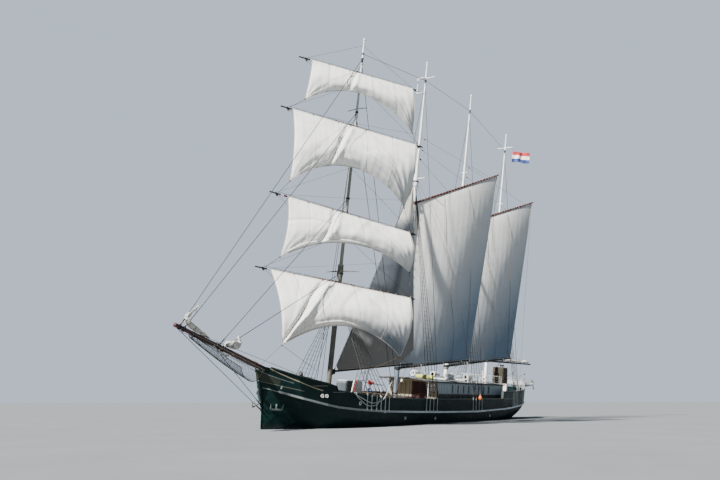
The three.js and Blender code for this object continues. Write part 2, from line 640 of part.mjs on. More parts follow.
const SPRIT_AXIS = SPRIT_TIP.clone().sub(SPRIT_HEEL).normalize();
const bandRadius = (share) => spritRadius(share - BAND.half / SPRIT_HEEL.distanceTo(SPRIT_TIP));
const spritBand = (share) => bandOn(alongSprit(share), SPRIT_AXIS, bandRadius(share));
const spritEye = (share, target) => eyeOn(alongSprit(share), SPRIT_AXIS, bandRadius(share), target);

const mastAxis = (name) => onMast(name, 1).sub(onMast(name, 0));
const mastBand = (name, z) => bandOn(onMast(name, z), mastAxis(name), mastRadius(name, z - BAND.half));
const mastEye = (name, z, target) => eyeOn(onMast(name, z), mastAxis(name), mastRadius(name, z - BAND.half), target);

const WIRE = 0.016;
const wire = (from, to, radius = WIRE) => rod(from, to, radius, radius, 4);

// Stays: height on the foremast and share of the bowsprit that they run to
const HEAD_STAYS = [[32.1, TIP_BAND], [27.0, 0.925], [19.1, 0.58], [12.55, 0.53]];
const BOBSTAY_FOOT = V(23.2835, 0, 1.35);

function headStayLine([z, share]) {
  const [masthead, band] = [onMast('fore', z), alongSprit(share)];
  return [mastEye('fore', z, band), spritEye(share, masthead)];
}

function headStays() {
  const stays = HEAD_STAYS.flatMap((stay) => (
    [mastBand('fore', stay[0]), spritBand(stay[1]), wire(...headStayLine(stay))]));
  const bobstay = wire(spritEye(TIP_BAND, BOBSTAY_FOOT), BOBSTAY_FOOT, 0.022);
  const shackle = box(BOBSTAY_FOOT.x, 0, BOBSTAY_FOOT.z, 0.08, 0.12, 0.16);
  const below = V(28, 0, 0);
  const lastBand = HEAD_STAYS.at(-1)[1];
  const jackstay = wire(spritEye(lastBand, below), spritEye(TIP_BAND, below));
  return joined(stays, bobstay, shackle, jackstay);
}

// Net under the bowsprit, slung from two side ropes that meet the band at its tip
const NET = { tip: 0.86, end: V(24.6, 1.1, 4.25), sag: 0.12, fore: 0.32, aft: 0.92 };
function bowspritNet() {
  const rope = (u, side) => {
    const start = alongSprit(NET.tip).add(V(0, side * (spritRadius(NET.tip) + 0.03), -0.02));
    return start.lerp(V(NET.end.x, side * NET.end.y, NET.end.z), u);
  };
  const mesh = cloth((u, v) => {
    const p = rope(u, 1).lerp(rope(u, -1), v);
    const across = 2 * v - 1;
    const deep = NET.fore + (NET.aft - NET.fore) * u + NET.sag * Math.sin(Math.PI * u);
    p.z -= deep * (1 - across ** 2) ** 0.7;
    return p;
  }, 10, 6, 0.02);
  const ropes = [1, -1].map((side) => wire(rope(-0.01, side), rope(1.02, side), 0.025));
  const spar = rod(SPRIT_HEEL, SPRIT_TIP, SPRIT.heel + GAP, SPRIT.end + GAP, 24);
  return cut(joined(mesh, ropes), spar);
}

// Furled jibs: lumps of canvas on the spar, strung on their stays: x, height above the spar's top, radius
const OUTER_JIB = [[29.2, 0.07, 0.06], [29.7, 0.14, 0.12], [30.2, 0.2, 0.17], [30.7, 0.26, 0.2], [31.15, 0.36, 0.2],
  [31.35, 0.62, 0.17], [31.15, 0.95, 0.12], [30.8, 1.35, 0.07], [30.45, 1.75, 0.04]];
const INNER_JIB = [[27.65, 0.12, 0.09], [27.4, 0.24, 0.2], [27.0, 0.36, 0.28], [26.6, 0.44, 0.3], [26.3, 0.75, 0.2],
  [26.45, 1.15, 0.06]];

function furledJib(lumps, stays) {
  const share = (x) => (x - SPRIT_HEEL.x) / (SPRIT_TIP.x - SPRIT_HEEL.x);
  const centres = lumps.map(([x, up]) => alongSprit(share(x)).add(V(0, 0, spritRadius(share(x)) + up)));
  const rings = centres.map((centre, i) => {
    const before = centres[Math.max(i - 1, 0)];
    const after = centres[Math.min(i + 1, centres.length - 1)];
    const way = after.clone().sub(before).normalize();
    const lift = V(-way.z, 0, way.x);
    const radius = lumps[i][2];
    return Array.from({ length: 8 }, (_, k) => {
      const turn = k * Math.PI / 4;
      return centre.clone().addScaledVector(lift, radius * Math.cos(turn)).add(V(0, radius * Math.sin(turn), 0));
    });
  });
  const spar = bore(SPRIT_HEEL, SPRIT_TIP, SPRIT.heel);
  return cut(loft(rings), spar, ...stays.map((stay) => {
    const [top, low] = headStayLine(stay);
    return bore(top, low.clone().lerp(top, -0.02), WIRE, 12);
  }));
}

// The stemhead is bored for the bowsprit and the bows for the anchors' shanks
function spritBed() {
  return bore(SPRIT_HEEL.clone().lerp(SPRIT_TIP, -0.01), alongSprit(0.3), SPRIT.heel);
}

const HAWSE = { inside: V(22.1, 0.35, 2.3), outside: V(22.95, 1.12, 1.5), shank: 0.06 };
const mirror = (p, side) => V(p.x, side * p.y, p.z);
function hawsePipes() {
  const line = HAWSE.outside.clone().sub(HAWSE.inside);
  const deep = HAWSE.inside.clone().addScaledVector(line, -0.05);
  return [1, -1].map((side) => bore(mirror(deep, side), mirror(HAWSE.outside, side), HAWSE.shank));
}

const HULL = hull();
const shifted = (geometry, shifts) => shifts.map(([x, y, z]) => geometry.clone().translate(x, y, z));
const aroundHull = shifted(HULL, [[GAP, 0, 0], [-GAP, 0, 0], [0, GAP, 0], [0, -GAP, 0], [0, 0, GAP]]);

place('hull', HULL, 'green');
place('rail_cap', cut(railCap(), aroundHull), 'green');
place('rubbing_strake', cut(rubbingStrake(), aroundHull), 'strake');
place('bowsprit', rod(SPRIT_HEEL, SPRIT_TIP, SPRIT.heel, SPRIT.end, 16), 'maroon');
place('head_stays', headStays(), 'wire');
place('bowsprit_net', bowspritNet(), 'rope');
place('furled_outer_jib', furledJib(OUTER_JIB, [HEAD_STAYS[0], HEAD_STAYS[1]]), 'canvas');
place('furled_inner_jib', furledJib(INNER_JIB, [HEAD_STAYS[2], HEAD_STAYS[3]]), 'canvas');

// Shrouds with their chainplates: mast, height of the lower shrouds' band, plates fore and aft of the mast's foot,
// and backstays as plate and height of their band
const SHROUDS = {
  fore: { z: 10.9, plates: [-0.1, -0.7, -1.4, -2.0, -2.6, -3.2], back: [[-3.7, 26.6], [-4.4, 31.6]] },
  main: { z: 23.1, plates: [1.1, 0.45, -0.25, -0.95], back: [[-0.95, 34.1]] },
  mizzen: { z: 23.1, plates: [1.1, 0.4, -0.35, -1.1], back: [[-1.1, 34.6]] },
  jigger: { z: 22.9, plates: [-0.1, -0.7, -1.3, -1.9], back: [[-1.9, 33.0]] },
};
const PLATE = { radius: 0.028, foot: 0.05, out: 0.1, up: 0.14 };

// Point on the topside at x, at a height that each section gives
function sideAt(x, level) {
  const line = STATIONS.map((station) => topside(station, level(station)));
  const i = line.findIndex((p) => p.x <= x);
  return line[i].clone().lerp(line[i - 1], (x - line[i].x) / (line[i - 1].x - line[i].x));
}

function shroudSet(name) {
  const { z, plates, back } = SHROUDS[name];
  const { radius, foot: footOut, out: topOut, up } = PLATE;
  const mastX = MASTS[name].x;
  const all = [...new Set([...plates, ...back.map(([rel]) => rel)])].map((rel) => mastX + rel);
  const kinks = STATIONS.map(({ x }) => x).filter((x) => x < Math.max(...all) && x > Math.min(...all));
  const bends = [Math.max(...all), ...kinks, Math.min(...all)];
  const sides = [1, -1].flatMap((side) => {
    const spot = (x, level, out) => {
      const p = sideAt(x, level);
      return V(p.x, side * (p.y + out), p.z);
    };
    const top = (x) => spot(x, (s) => s.rail, topOut).add(V(0, 0, up));
    const foot = (x) => spot(x, (s) => s.strake + STRAKE_HALF - STRAKE_TRIM + 2 * GAP, footOut);
    return [
      ...all.map((x) => wire(foot(x), top(x), radius)),
      ...bends.slice(1).map((x, i) => wire(top(bends[i]), top(x), radius)),
      ...plates.map((rel) => wire(top(mastX + rel), mastEye(name, z, top(mastX + rel)))),
      ...back.map(([rel, height]) => wire(top(mastX + rel), mastEye(name, height, top(mastX + rel)))),
    ];
  });
  return joined([z, ...back.map(([, height]) => height)].map((height) => mastBand(name, height)), sides);
}

for (const name of Object.keys(SHROUDS)) place(`${name}_shrouds`, shroudSet(name), 'wire');

// Stays between the mastheads, and the stay that the staysail is bent to
const TRIATIC = [['fore', 32.6], ['main', 34.6], ['mizzen', 35.1], ['jigger', 33.5]];
function triaticStay() {
  const bands = TRIATIC.map(([name, z]) => mastBand(name, z));
  const lines = TRIATIC.slice(1).map(([name, z], i) => {
    const [before, zBefore] = TRIATIC[i];
    return wire(mastEye(before, zBefore, onMast(name, z)), mastEye(name, z, onMast(before, zBefore)));
  });
  return joined(bands, lines);
}

const mainStay = () => joined(mastBand('main', STAY_BAND), wire(alongStay(0.3 + GAP), STAY_HEAD, 0.02));

place('triatic_stay', triaticStay(), 'wire');
place('main_stay', mainStay(), 'wire');

// Deckhouse: cambered across, its walls cut for the doors and windows
const FACET = HOUSE.half / 4;
const crown = (y) => HOUSE.camber * (1 - (y / HOUSE.half) ** 2);

// The roof is flat between the facets' edges
function camber(y) {
  const edge = Math.floor(Math.abs(y) / FACET);
  const share = Math.abs(y) / FACET - edge;
  return crown(edge * FACET) * (1 - share) + crown((edge + 1) * FACET) * share;
}

// Across the house at even steps: points at a height over the camber
const crossing = (wide, height) => {
  const ys = Array.from({ length: 9 }, (_, i) => (4 - i) * FACET);
  const ends = wide > HOUSE.half ? [wide, ...ys, -wide] : ys;
  return ends.map((y) => [y, height + camber(y)]);
};

function alongX(outline, from, to) {
  const shape = new THREE.Shape(outline.map(([y, z]) => new THREE.Vector2(y, z)));
  return new THREE.ExtrudeGeometry(shape, { depth: to - from, bevelEnabled: false })
    .applyMatrix4(new THREE.Matrix4().makeBasis(V(0, 1, 0), V(0, 0, 1), V(1, 0, 0)))
    .translate(from, 0, 0);
}

function deckhouseWalls() {
  const { front, back, half, wall, top } = HOUSE;
  const floor = WAIST_DECK + GAP;
  const outer = alongX([...crossing(half, top - GAP), [-half, floor], [half, floor]], back, front);
  const inner = box((front + back) / 2, 0, floor + 2, front - back - 2 * wall, 2 * (half - wall), 6);
  const opening = (y, width, low, high) => box(front, y, (low + high) / 2, 1, width, high - low);
  const windows = Array.from({ length: SIDE_WINDOWS.count }, (_, i) => {
    const { first, pitch, width, low, high } = SIDE_WINDOWS;
    return box(first + i * pitch, 0, (low + high) / 2, width, 2 * half + 1, high - low);
  });
  const pins = doorPins().map((y) => bore(V(pinX, y, DOOR.low - 0.07), V(pinX, y, DOOR.high + 0.07), DOOR.pin, 12));
  return cut(outer, inner, opening(DOOR.y, DOOR.width, DOOR.low, DOOR.high),
    opening(FRONT_WINDOW.y, FRONT_WINDOW.width, FRONT_WINDOW.low, FRONT_WINDOW.high),
    opening(-FRONT_WINDOW.y, FRONT_WINDOW.width, FRONT_WINDOW.low, FRONT_WINDOW.high), windows, pins);
}

const pinX = HOUSE.front - HOUSE.wall / 2;
const doorPins = () => [1, -1].map((side) => DOOR.y + side * (DOOR.width / 2 - DOOR.jamb));

// Leaves hang on pins in the sill and the lintel
function doorLeaf(side) {
  const hinge = DOOR.y + side * (DOOR.width / 2 - DOOR.jamb);
  const [outer, inner] = [hinge + side * 0.02, DOOR.y + side * 0.006];
  const gap = 0.012;
  const height = DOOR.high - DOOR.low - 2 * gap;
  const panel = box(pinX, (outer + inner) / 2, (DOOR.low + DOOR.high) / 2, DOOR.leaf, Math.abs(outer - inner), height);
  const pin = rod(V(pinX, hinge, DOOR.low - 0.06), V(pinX, hinge, DOOR.high + 0.06), DOOR.pin, DOOR.pin, 12);
  return joined(panel, pin);
}

const roofTop = (y) => HOUSE.top + camber(y) + HOUSE.roof;

function deckhouseRoof() {
  const { half, back, front, eave, roof, overhang, top } = HOUSE;
  const wide = half + overhang;
  const slab = alongX([...crossing(wide, top + roof), ...crossing(wide, top).reverse()], back - 0.05, front + eave);
  const mast = rod(onMast('mizzen', 3), onMast('mizzen', 5), MASTS.mizzen.radius + 0.02, undefined, 24);
  return cut(slab, mast);
}

place('deckhouse_walls', deckhouseWalls(), 'cream');
place('deckhouse_roof', deckhouseRoof(), 'roof');
place('door_port', doorLeaf(1), 'maroon');
place('door_starboard', doorLeaf(-1), 'maroon');

// Guard rail round the after part of the roof
const GUARD = { y: 2.55, from: -3.2, to: -14.2, posts: 6, height: 0.85, tube: 0.02 };
function guardRail() {
  const base = roofTop(GUARD.y - 0.025) + GAP;
  const rail = base + GUARD.height - 0.01;
  const parts = [];
  for (const side of [1, -1]) {
    for (let i = 0; i < GUARD.posts; i++) {
      const x = GUARD.from + (GUARD.to - GUARD.from) * i / (GUARD.posts - 1);
      parts.push(wire(V(x, side * GUARD.y, base), V(x, side * GUARD.y, base + GUARD.height), GUARD.tube));
      parts.push(box(x, side * GUARD.y, base + 0.015, 0.08, 0.05, 0.03));
    }
    parts.push(wire(V(GUARD.from, side * GUARD.y, rail), V(GUARD.to, side * GUARD.y, rail), GUARD.tube));
  }
  parts.push(wire(V(GUARD.to, GUARD.y, rail), V(GUARD.to, -GUARD.y, rail), GUARD.tube));
  return joined(parts);
}

// Liferafts in pairs on a beam across the roof
const RAFT = { radius: 0.3, length: 1.15, y: 1.95 };
function raftPair(x) {
  const z = roofTop(0) + GAP;
  const beam = box(x, 0, z + 0.06, 0.35, 2 * RAFT.y + 0.4, 0.12);
  const cans = [1, -1].map((side) => rod(V(x - RAFT.length / 2, side * RAFT.y, z + 0.1 + RAFT.radius),
    V(x + RAFT.length / 2, side * RAFT.y, z + 0.1 + RAFT.radius), RAFT.radius, RAFT.radius, 16));
  return joined(beam, cans);
}

place('roof_guard_rail', guardRail(), 'white');
place('liferafts_forward', raftPair(-2.3), 'white');
place('liferafts_aft', raftPair(-6.6), 'white');

// On the roof, to port: a vent pipe
const VENT = { x: -9.8, y: 2.2 };
function ventPipe() {
  const base = roofTop(VENT.y + 0.12) + GAP;
  return joined(
    rod(V(VENT.x, VENT.y, base + 0.05), V(VENT.x, VENT.y, 5.5), 0.075, 0.075, 12),
    rod(V(VENT.x, VENT.y, base + 0.2), V(VENT.x + 0.75, VENT.y, base + 0.2), 0.07, 0.07, 12),
    box(VENT.x, VENT.y, roofTop(VENT.y - 0.12) + GAP + 0.04, 0.24, 0.24, 0.08),
  );
}

// On the quarterdeck before the wheel: the canvas-covered steering shelter
const SHELTER = { back: -18.8, front: -17.4, y: 0.75, half: 0.72, high: 6.05 };
function steeringShelter() {
  const { back, front, y, half, high } = SHELTER;
  const low = QUARTER_DECK + GAP;
  const body = new THREE.Shape([[back, low], [front, low], [front - 0.15, high - 0.15], [front - 0.45, high],
    [back + 0.3, high], [back + 0.05, high - 0.3]].map(([x, z]) => new THREE.Vector2(x, z)));
  return new THREE.ExtrudeGeometry(body, { depth: 2 * half, bevelEnabled: false })
    .rotateX(Math.PI / 2)
    .translate(0, y + half, 0);
}

place('vent_pipe', ventPipe(), 'white');
place('steering_shelter', steeringShelter(), 'tarp');

// Steering wheel on the quarterdeck
const HELM = { x: -19.4, z: 3.75, radius: 0.62, pin: 0.05 };
function helmStand() {
  const { x, z, pin } = HELM;
  return joined(
    box(x - 0.35, 0, (QUARTER_DECK + GAP + z + 0.3) / 2, 0.5, 0.55, z + 0.3 - QUARTER_DECK - GAP),
    rod(V(x - 0.2, 0, z), V(x + 0.1, 0, z), pin, pin, 12),
  );
}

function helmWheel() {
  const { x, z, radius, pin } = HELM;
  const rim = collar(V(x - 0.03, 0, z), V(x + 0.03, 0, z), radius - 0.06, radius, 20);
  const hub = rod(V(x - 0.06, 0, z), V(x + 0.06, 0, z), 0.13, 0.13, 12);
  const spokes = Array.from({ length: 4 }, (_, i) => {
    const way = V(0, Math.cos(i * Math.PI / 4), Math.sin(i * Math.PI / 4)).multiplyScalar(radius + 0.16);
    return wire(V(x, 0, z).sub(way), V(x, 0, z).add(way), 0.022);
  });
  return cut(joined(rim, hub, spokes), bore(V(x - 1, 0, z), V(x + 1, 0, z), pin, 16));
}

place('helm_stand', helmStand(), 'teak');
place('helm_wheel', helmWheel(), 'teak');

// Deck fittings
const COMPANION = { back: 11.6, front: 13.2, half: 0.8, high: 3.75 };
function companion() {
  const { back, front, half, high } = COMPANION;
  const round = 0.25;
  const low = WAIST_DECK + GAP;
  const shape = new THREE.Shape([[back, low], [front, low], [front, high - round], [front - round * 0.3,
    high - round * 0.3], [front - round, high], [back + round, high], [back + round * 0.3, high - round * 0.3],
  [back, high - round]].map(([x, z]) => new THREE.Vector2(x, z)));
  return new THREE.ExtrudeGeometry(shape, { depth: 2 * half, bevelEnabled: false })
    .rotateX(Math.PI / 2)
    .translate(0, half, 0);
}

function windlass() {
  const [x, base] = [21.2, FORE_DECK + GAP];
  return joined(
    box(x, 0, base + 0.04, 0.9, 1.5, 0.08),
    [1, -1].map((side) => box(x, side * 0.45, base + 0.35, 0.5, 0.12, 0.62)),
    rod(V(x, -0.8, base + 0.5), V(x, 0.8, base + 0.5), 0.09, 0.09, 12),
    rod(V(x, -0.38, base + 0.5), V(x, 0.38, base + 0.5), 0.2, 0.2, 16),
    [1, -1].map((side) => rod(V(x, side * 0.6, base + 0.5), V(x, side * 0.78, base + 0.5), 0.17, 0.17, 16)),
  );
}

function bitts(x, half, deckZ) {
  const base = deckZ + GAP;
  return joined(
    box(x, 0, base + 0.03, 0.4, 2 * half + 0.5, 0.06),
    [1, -1].map((side) => box(x, side * half, base + 0.3, 0.24, 0.24, 0.56)),
  );
}

// Stowed anchors, their shanks in the hawse pipes
function anchor(side) {
  const [inside, outside] = [mirror(HAWSE.inside, side), mirror(HAWSE.outside, side)];
  const way = outside.clone().sub(inside).normalize();
  const crown = outside.clone();
  const aft = V(-0.45, side * 0.28, 0).normalize();
  const arm = (dir) => crown.clone().addScaledVector(aft, dir * 0.42).addScaledVector(way, -0.02);
  const fluke = (dir) => rod(arm(dir), arm(dir).add(V(0, side * 0.03, 0.4)).addScaledVector(aft, dir * 0.05), 0.075,
    0.02, 6);
  return joined(rod(inside, crown, HAWSE.shank, HAWSE.shank, 10), rod(arm(-1), arm(1), 0.07, 0.07, 8), fluke(1),
    fluke(-1));
}

place('companion', companion(), 'grey');
place('windlass', windlass(), 'black');
place('bow_bitts', bitts(19.9, 1.15, FORE_DECK), 'black');
place('stern_bitts', bitts(-22.1, 1.2, QUARTER_DECK), 'black');
place('anchor_port', anchor(1), 'black');
place('anchor_starboard', anchor(-1), 'black');

// Boat in davits over the stern
const BOAT = { x: -26.0, z: 4.45, half: 2.1, beam: 0.66, deep: 0.65, falls: 0.4, skin: 0.07, inner: 0.93 };
const boatFull = (share) => (1 - Math.abs(share) ** 2.5) * 0.95 + 0.05;
const boatZ = (share, turn) => (
  BOAT.z - BOAT.deep * (0.5 + 0.5 * boatFull(share)) * Math.sin(turn) + 0.12 * share ** 2);
const boatFloor = (share) => boatZ(share, Math.PI * 4 / 9) + BOAT.skin;

function dinghy() {
  const rings = [-1, -0.85, -0.4, 0, 0.4, 0.85, 1].map((share) => Array.from({ length: 10 }, (_, k) => {
    const turn = Math.PI * k / 9;
    return V(BOAT.x + BOAT.beam * boatFull(share) * Math.cos(turn), BOAT.half * share, boatZ(share, turn));
  }));
  const inside = rings.map((line) => line.map((p) => (
    V(BOAT.x + (p.x - BOAT.x) * 0.88, p.y * BOAT.inner, p.z + BOAT.skin))));
  return cut(loft(rings), loft(inside), box(BOAT.x, 0, BOAT.z + 0.2, 2 * BOAT.beam - 0.3, 2 * BOAT.half - 0.6, 0.4));
}

// Davits stand on the quarterdeck and hold the boat by falls to its floor
function davits() {
  const deck = QUARTER_DECK + GAP;
  const fallY = BOAT.half * BOAT.falls * BOAT.inner;
  const arms = [1, -1].map((side) => {
    const y = side * fallY;
    const [foot, knee, head] = [V(-23.5, y, deck + 0.03), V(-23.9, y, 5.1), V(BOAT.x, y, 5.6)];
    return [box(foot.x, y, deck + 0.03, 0.3, 0.3, 0.06), rod(foot, knee, 0.06, 0.06, 8),
      rod(knee.clone().add(V(0.02, 0, -0.05)), head, 0.06, 0.05, 8),
      wire(head.clone().add(V(0, 0, 0.02)), V(BOAT.x, y, boatFloor(BOAT.falls) + 0.006))];
  });
  const tie = fallY + 0.05;
  return joined(arms.flat(), rod(V(-23.88, -tie, 4.9), V(-23.88, tie, 4.9), 0.04, 0.04, 8));
}

place('stern_davits', davits(), 'white');
place('dinghy', dinghy(), 'white');

// Rudder and propeller
function rudder() {
  const { x, back, low, stock } = RUDDER;
  const blade = new THREE.Shape([[x, low], [back + 0.25, low], [back, low + 0.4], [back + 0.15, -0.9], [x - 0.6, -0.12],
    [x, -0.12]].map(([px, pz]) => new THREE.Vector2(px, pz)));
  const thick = 0.14;
  const plate = new THREE.ExtrudeGeometry(blade, { depth: thick, bevelEnabled: false })
    .rotateX(Math.PI / 2)
    .translate(0, thick / 2, 0);
  return joined(plate, rod(V(x, 0, low), V(x, 0, 1.1), stock, stock, 16));
}

function propeller() {
  const { x, z, radius, shaft } = PROPELLER;
  const blades = [0, 1, 2].map((i) => {
    const blade = new THREE.BoxGeometry(0.05, 0.36, radius - 0.1).translate(0, 0, (radius + 0.1) / 2 - 0.02)
      .rotateZ(rad(32))
      .rotateX(i * 2 * Math.PI / 3);
    return blade.translate(x, 0, z);
  });
  return joined(rod(V(x - 0.2, 0, z), V(x + 0.2, 0, z), 0.14, 0.14, 16),
    rod(V(x, 0, z), V(x + 1.2, 0, z), shaft, shaft, 16), ...blades);
}

place('rudder', rudder(), 'green');
place('propeller', propeller(), 'bronze');

export default ship;
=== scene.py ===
from functools import partial
from itertools import product
from math import atan2, copysign, cos, exp, hypot, pi, radians as rad, sin, tan

import bpy
from mathutils import Matrix, Vector as V, noise


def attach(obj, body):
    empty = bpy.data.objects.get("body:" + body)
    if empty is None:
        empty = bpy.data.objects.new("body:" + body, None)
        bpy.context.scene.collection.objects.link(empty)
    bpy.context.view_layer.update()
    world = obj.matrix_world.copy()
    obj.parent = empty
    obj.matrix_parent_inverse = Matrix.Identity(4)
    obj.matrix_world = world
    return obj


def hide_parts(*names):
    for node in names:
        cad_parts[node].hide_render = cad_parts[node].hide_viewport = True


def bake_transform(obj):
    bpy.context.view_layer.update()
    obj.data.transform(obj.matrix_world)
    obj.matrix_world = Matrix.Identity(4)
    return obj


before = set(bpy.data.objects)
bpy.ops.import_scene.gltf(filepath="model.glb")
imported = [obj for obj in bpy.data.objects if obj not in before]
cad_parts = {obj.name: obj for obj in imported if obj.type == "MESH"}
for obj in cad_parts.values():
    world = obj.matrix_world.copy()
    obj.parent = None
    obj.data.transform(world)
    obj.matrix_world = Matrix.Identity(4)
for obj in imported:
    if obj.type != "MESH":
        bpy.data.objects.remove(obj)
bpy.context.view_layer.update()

# The model is half the size of the ship. Lengths below are the ship's own metres: x forward, y port, z up
HALF = 0.5
AHEAD, PORT, UP = V((1, 0, 0)), V((0, 1, 0)), V((0, 0, 1))
SIDES = (-1, 1)
SIDE_NAMES = ((-1, "starboard"), (1, "port"))


def at(x, y, z):
    return V((x, y, z))


def lerp(a, b, share):
    return a + (b - a) * share


def steps(count):
    """Shares from 0 to 1 in so many equal steps."""
    return [i / count for i in range(count + 1)]


def circle(count, first=0.0):
    """Cosine and sine of equal turns."""
    return [(cos(t), sin(t)) for t in (2 * pi * (k + first) / count for k in range(count))]


def link(name, data):
    made = bpy.data.objects.new(name, data)
    bpy.context.scene.collection.objects.link(made)
    return made


# Camera at the photograph's place
CAMERA = {"place": at(62.51, 34.6536, 5.347118), "right": at(-0.556911, 0.826772, 0.079357),
          "up": at(0.186057, 0.031066, 0.982048), "forward": at(-0.809465, -0.561678, 0.171128),
          "focal_px": 700.21, "width_px": 720, "sensor_mm": 36, "clip": 2000}
HEEL = 5.6


def make_camera():
    data = bpy.data.cameras.new("camera")
    data.sensor_width = CAMERA["sensor_mm"]
    data.lens = CAMERA["sensor_mm"] * CAMERA["focal_px"] / CAMERA["width_px"]
    data.clip_end = CAMERA["clip"]
    axes = Matrix((CAMERA["right"], CAMERA["up"], -CAMERA["forward"])).transposed().to_4x4()
    camera = link("camera", data)
    camera.matrix_world = Matrix.Translation(CAMERA["place"] * HALF) @ axes
    bpy.context.scene.camera = camera


make_camera()

# Light: a soft sun from ahead, and a pale sky that lights more faintly than it looks
SUN = {"azimuth": -20, "elevation": 40, "strength": 15.0, "angle": 2.5, "colour": (1.0, 0.97, 0.92)}
SKY = (((0.62, 0.78, 1.0), 0.26), ((0.62, 0.72, 0.85), 1.0))


def make_light():
    data = bpy.data.lights.new("sun", "SUN")
    data.energy, data.angle, data.color = SUN["strength"], rad(SUN["angle"]), SUN["colour"]
    a, e = rad(SUN["azimuth"]), rad(SUN["elevation"])
    towards = at(cos(a) * cos(e), sin(a) * cos(e), sin(e))
    link("sun", data).matrix_world = towards.to_track_quat("Z", "Y").to_matrix().to_4x4()
    world = bpy.data.worlds.new("sky")
    world.use_nodes = True
    nodes, links = world.node_tree.nodes, world.node_tree.links
    either = nodes.new("ShaderNodeMixShader")
    links.new(nodes.new("ShaderNodeLightPath").outputs["Is Camera Ray"], either.inputs[0])
    backgrounds = (nodes["Background"], nodes.new("ShaderNodeBackground"))
    for i, (background, (colour, strength)) in enumerate(zip(backgrounds, SKY)):
        background.inputs["Color"].default_value = (*colour, 1)
        background.inputs["Strength"].default_value = strength
        links.new(background.outputs[0], either.inputs[i + 1])
    links.new(either.outputs[0], nodes["World Output"].inputs[0])
    bpy.context.scene.world = world


make_light()


def shade(colour, factor):
    return tuple(min(1, c * factor) for c in colour)


class Paint:
    """One material and the node tree behind it."""

    def __init__(self, name, rough=0.5, metal=0.0, coat=0.0, sheen=0.0, specular=0.5):
        self.material = bpy.data.materials.new(name)
        self.material.use_nodes = True
        self.tree = self.material.node_tree
        self.shader = self.tree.nodes["Principled BSDF"].inputs
        for socket, value in (("Roughness", rough), ("Metallic", metal), ("Coat Weight", coat),
                              ("Sheen Weight", sheen), ("Specular IOR Level", specular)):
            self.put(self.shader[socket], value)

    def put(self, socket, value):
        if isinstance(value, bpy.types.NodeSocket):
            self.tree.links.new(value, socket)
        else:
            socket.default_value = value

    def node(self, kind, inputs, **settings):
        made = self.tree.nodes.new("ShaderNode" + kind)
        for key, value in settings.items():
            setattr(made, key, value)
        for key, value in inputs.items():
            self.put(made.inputs[key], value)
        return made.outputs

    def coordinate(self, space="Object"):
        return self.node("TexCoord", {})[space]

    def where(self, stretch=(1, 1, 1), space="Object", turn=(0, 0, 0)):
        return self.node("Mapping", {"Vector": self.coordinate(space), "Scale": stretch, "Rotation": turn})[0]

    def noise(self, scale, detail=4, rough=0.55, stretch=(1, 1, 1), distortion=0.0):
        return self.node("TexNoise", {"Vector": self.where(stretch), "Scale": scale, "Detail": detail,
                                      "Roughness": rough, "Distortion": distortion})[0]

    def wave(self, direction, scale, distortion, space="Object", turn=(0, 0, 0)):
        return self.node("TexWave", {"Vector": self.where(space=space, turn=turn), "Scale": scale,
                                     "Distortion": distortion}, bands_direction=direction)["Fac"]

    def bricks(self, light, dark, seam, sizes, turn=(0, 0, 0)):
        return self.node("TexBrick", {"Vector": self.where(turn=turn), "Color1": (*light, 1),
                                      "Color2": (*dark, 1), "Mortar": (*seam, 1), "Scale": 1.0, **sizes})

    def math(self, operation, *values, clamp=False):
        return self.node("Math", dict(enumerate(values)), operation=operation, use_clamp=clamp)[0]

    def times(self, value, *others):
        for other in others:
            value = self.math("MULTIPLY", value, other)
        return value

    def above(self, value, low):
        return self.math("GREATER_THAN", value, low)

    def below(self, value, high):
        return self.math("LESS_THAN", value, high)

    def between(self, value, low, high):
        return self.times(self.above(value, low), self.below(value, high))

    def span(self, value, low, high, to_low=0.0, to_high=1.0):
        return self.node("MapRange", {"Value": value, "From Min": low, "From Max": high, "To Min": to_low,
                                      "To Max": to_high})[0]

    def mix(self, a, b, share, blend="MIX"):
        a, b = [(*value, 1) if isinstance(value, tuple) else value for value in (a, b)]
        return self.node("Mix", {0: share, 6: a, 7: b}, data_type="RGBA", blend_type=blend)[2]

    def over(self, base, colour, source, low, high, weight):
        """A colour laid over the base where a value runs from low to high."""
        return self.mix(base, colour, self.span(source, low, high, 0, weight))

    def mottle(self, colour, dark, light, source, low=0.3, high=0.7):
        return self.mix(shade(colour, dark), shade(colour, light), self.span(source, low, high))

    def axis(self, which, space="Object"):
        return self.node("SeparateXYZ", {"Vector": self.coordinate(space)})[which]

    def ship_axis(self, which):
        return self.math("DIVIDE", self.axis(which), HALF)

    def facing(self, which):
        return self.node("SeparateXYZ", {"Vector": self.node("NewGeometry", {})["Normal"]})[which]

    def along(self, direction, origin):
        """How far a point lies along a direction from an origin, in the ship's metres."""
        moved = self.node("VectorMath", {0: self.coordinate(), 1: tuple(origin * HALF)},
                          operation="SUBTRACT")[0]
        dot = self.node("VectorMath", {0: moved, 1: tuple(direction)}, operation="DOT_PRODUCT")[1]
        return self.math("DIVIDE", dot, HALF)

    def finish(self, colour, source, smooth, rough, low=0.3, high=0.7):
        """The base colour, and a roughness that follows a texture."""
        self.put(self.shader["Base Color"], colour)
        self.put(self.shader["Roughness"], self.span(source, low, high, smooth, rough))

    def bump(self, height, strength, distance):
        normal = self.shader["Normal"]
        inputs = {"Height": height, "Strength": strength, "Distance": distance}
        if normal.is_linked:
            inputs["Normal"] = normal.links[0].from_socket
        self.tree.links.new(self.node("Bump", inputs)[0], normal)


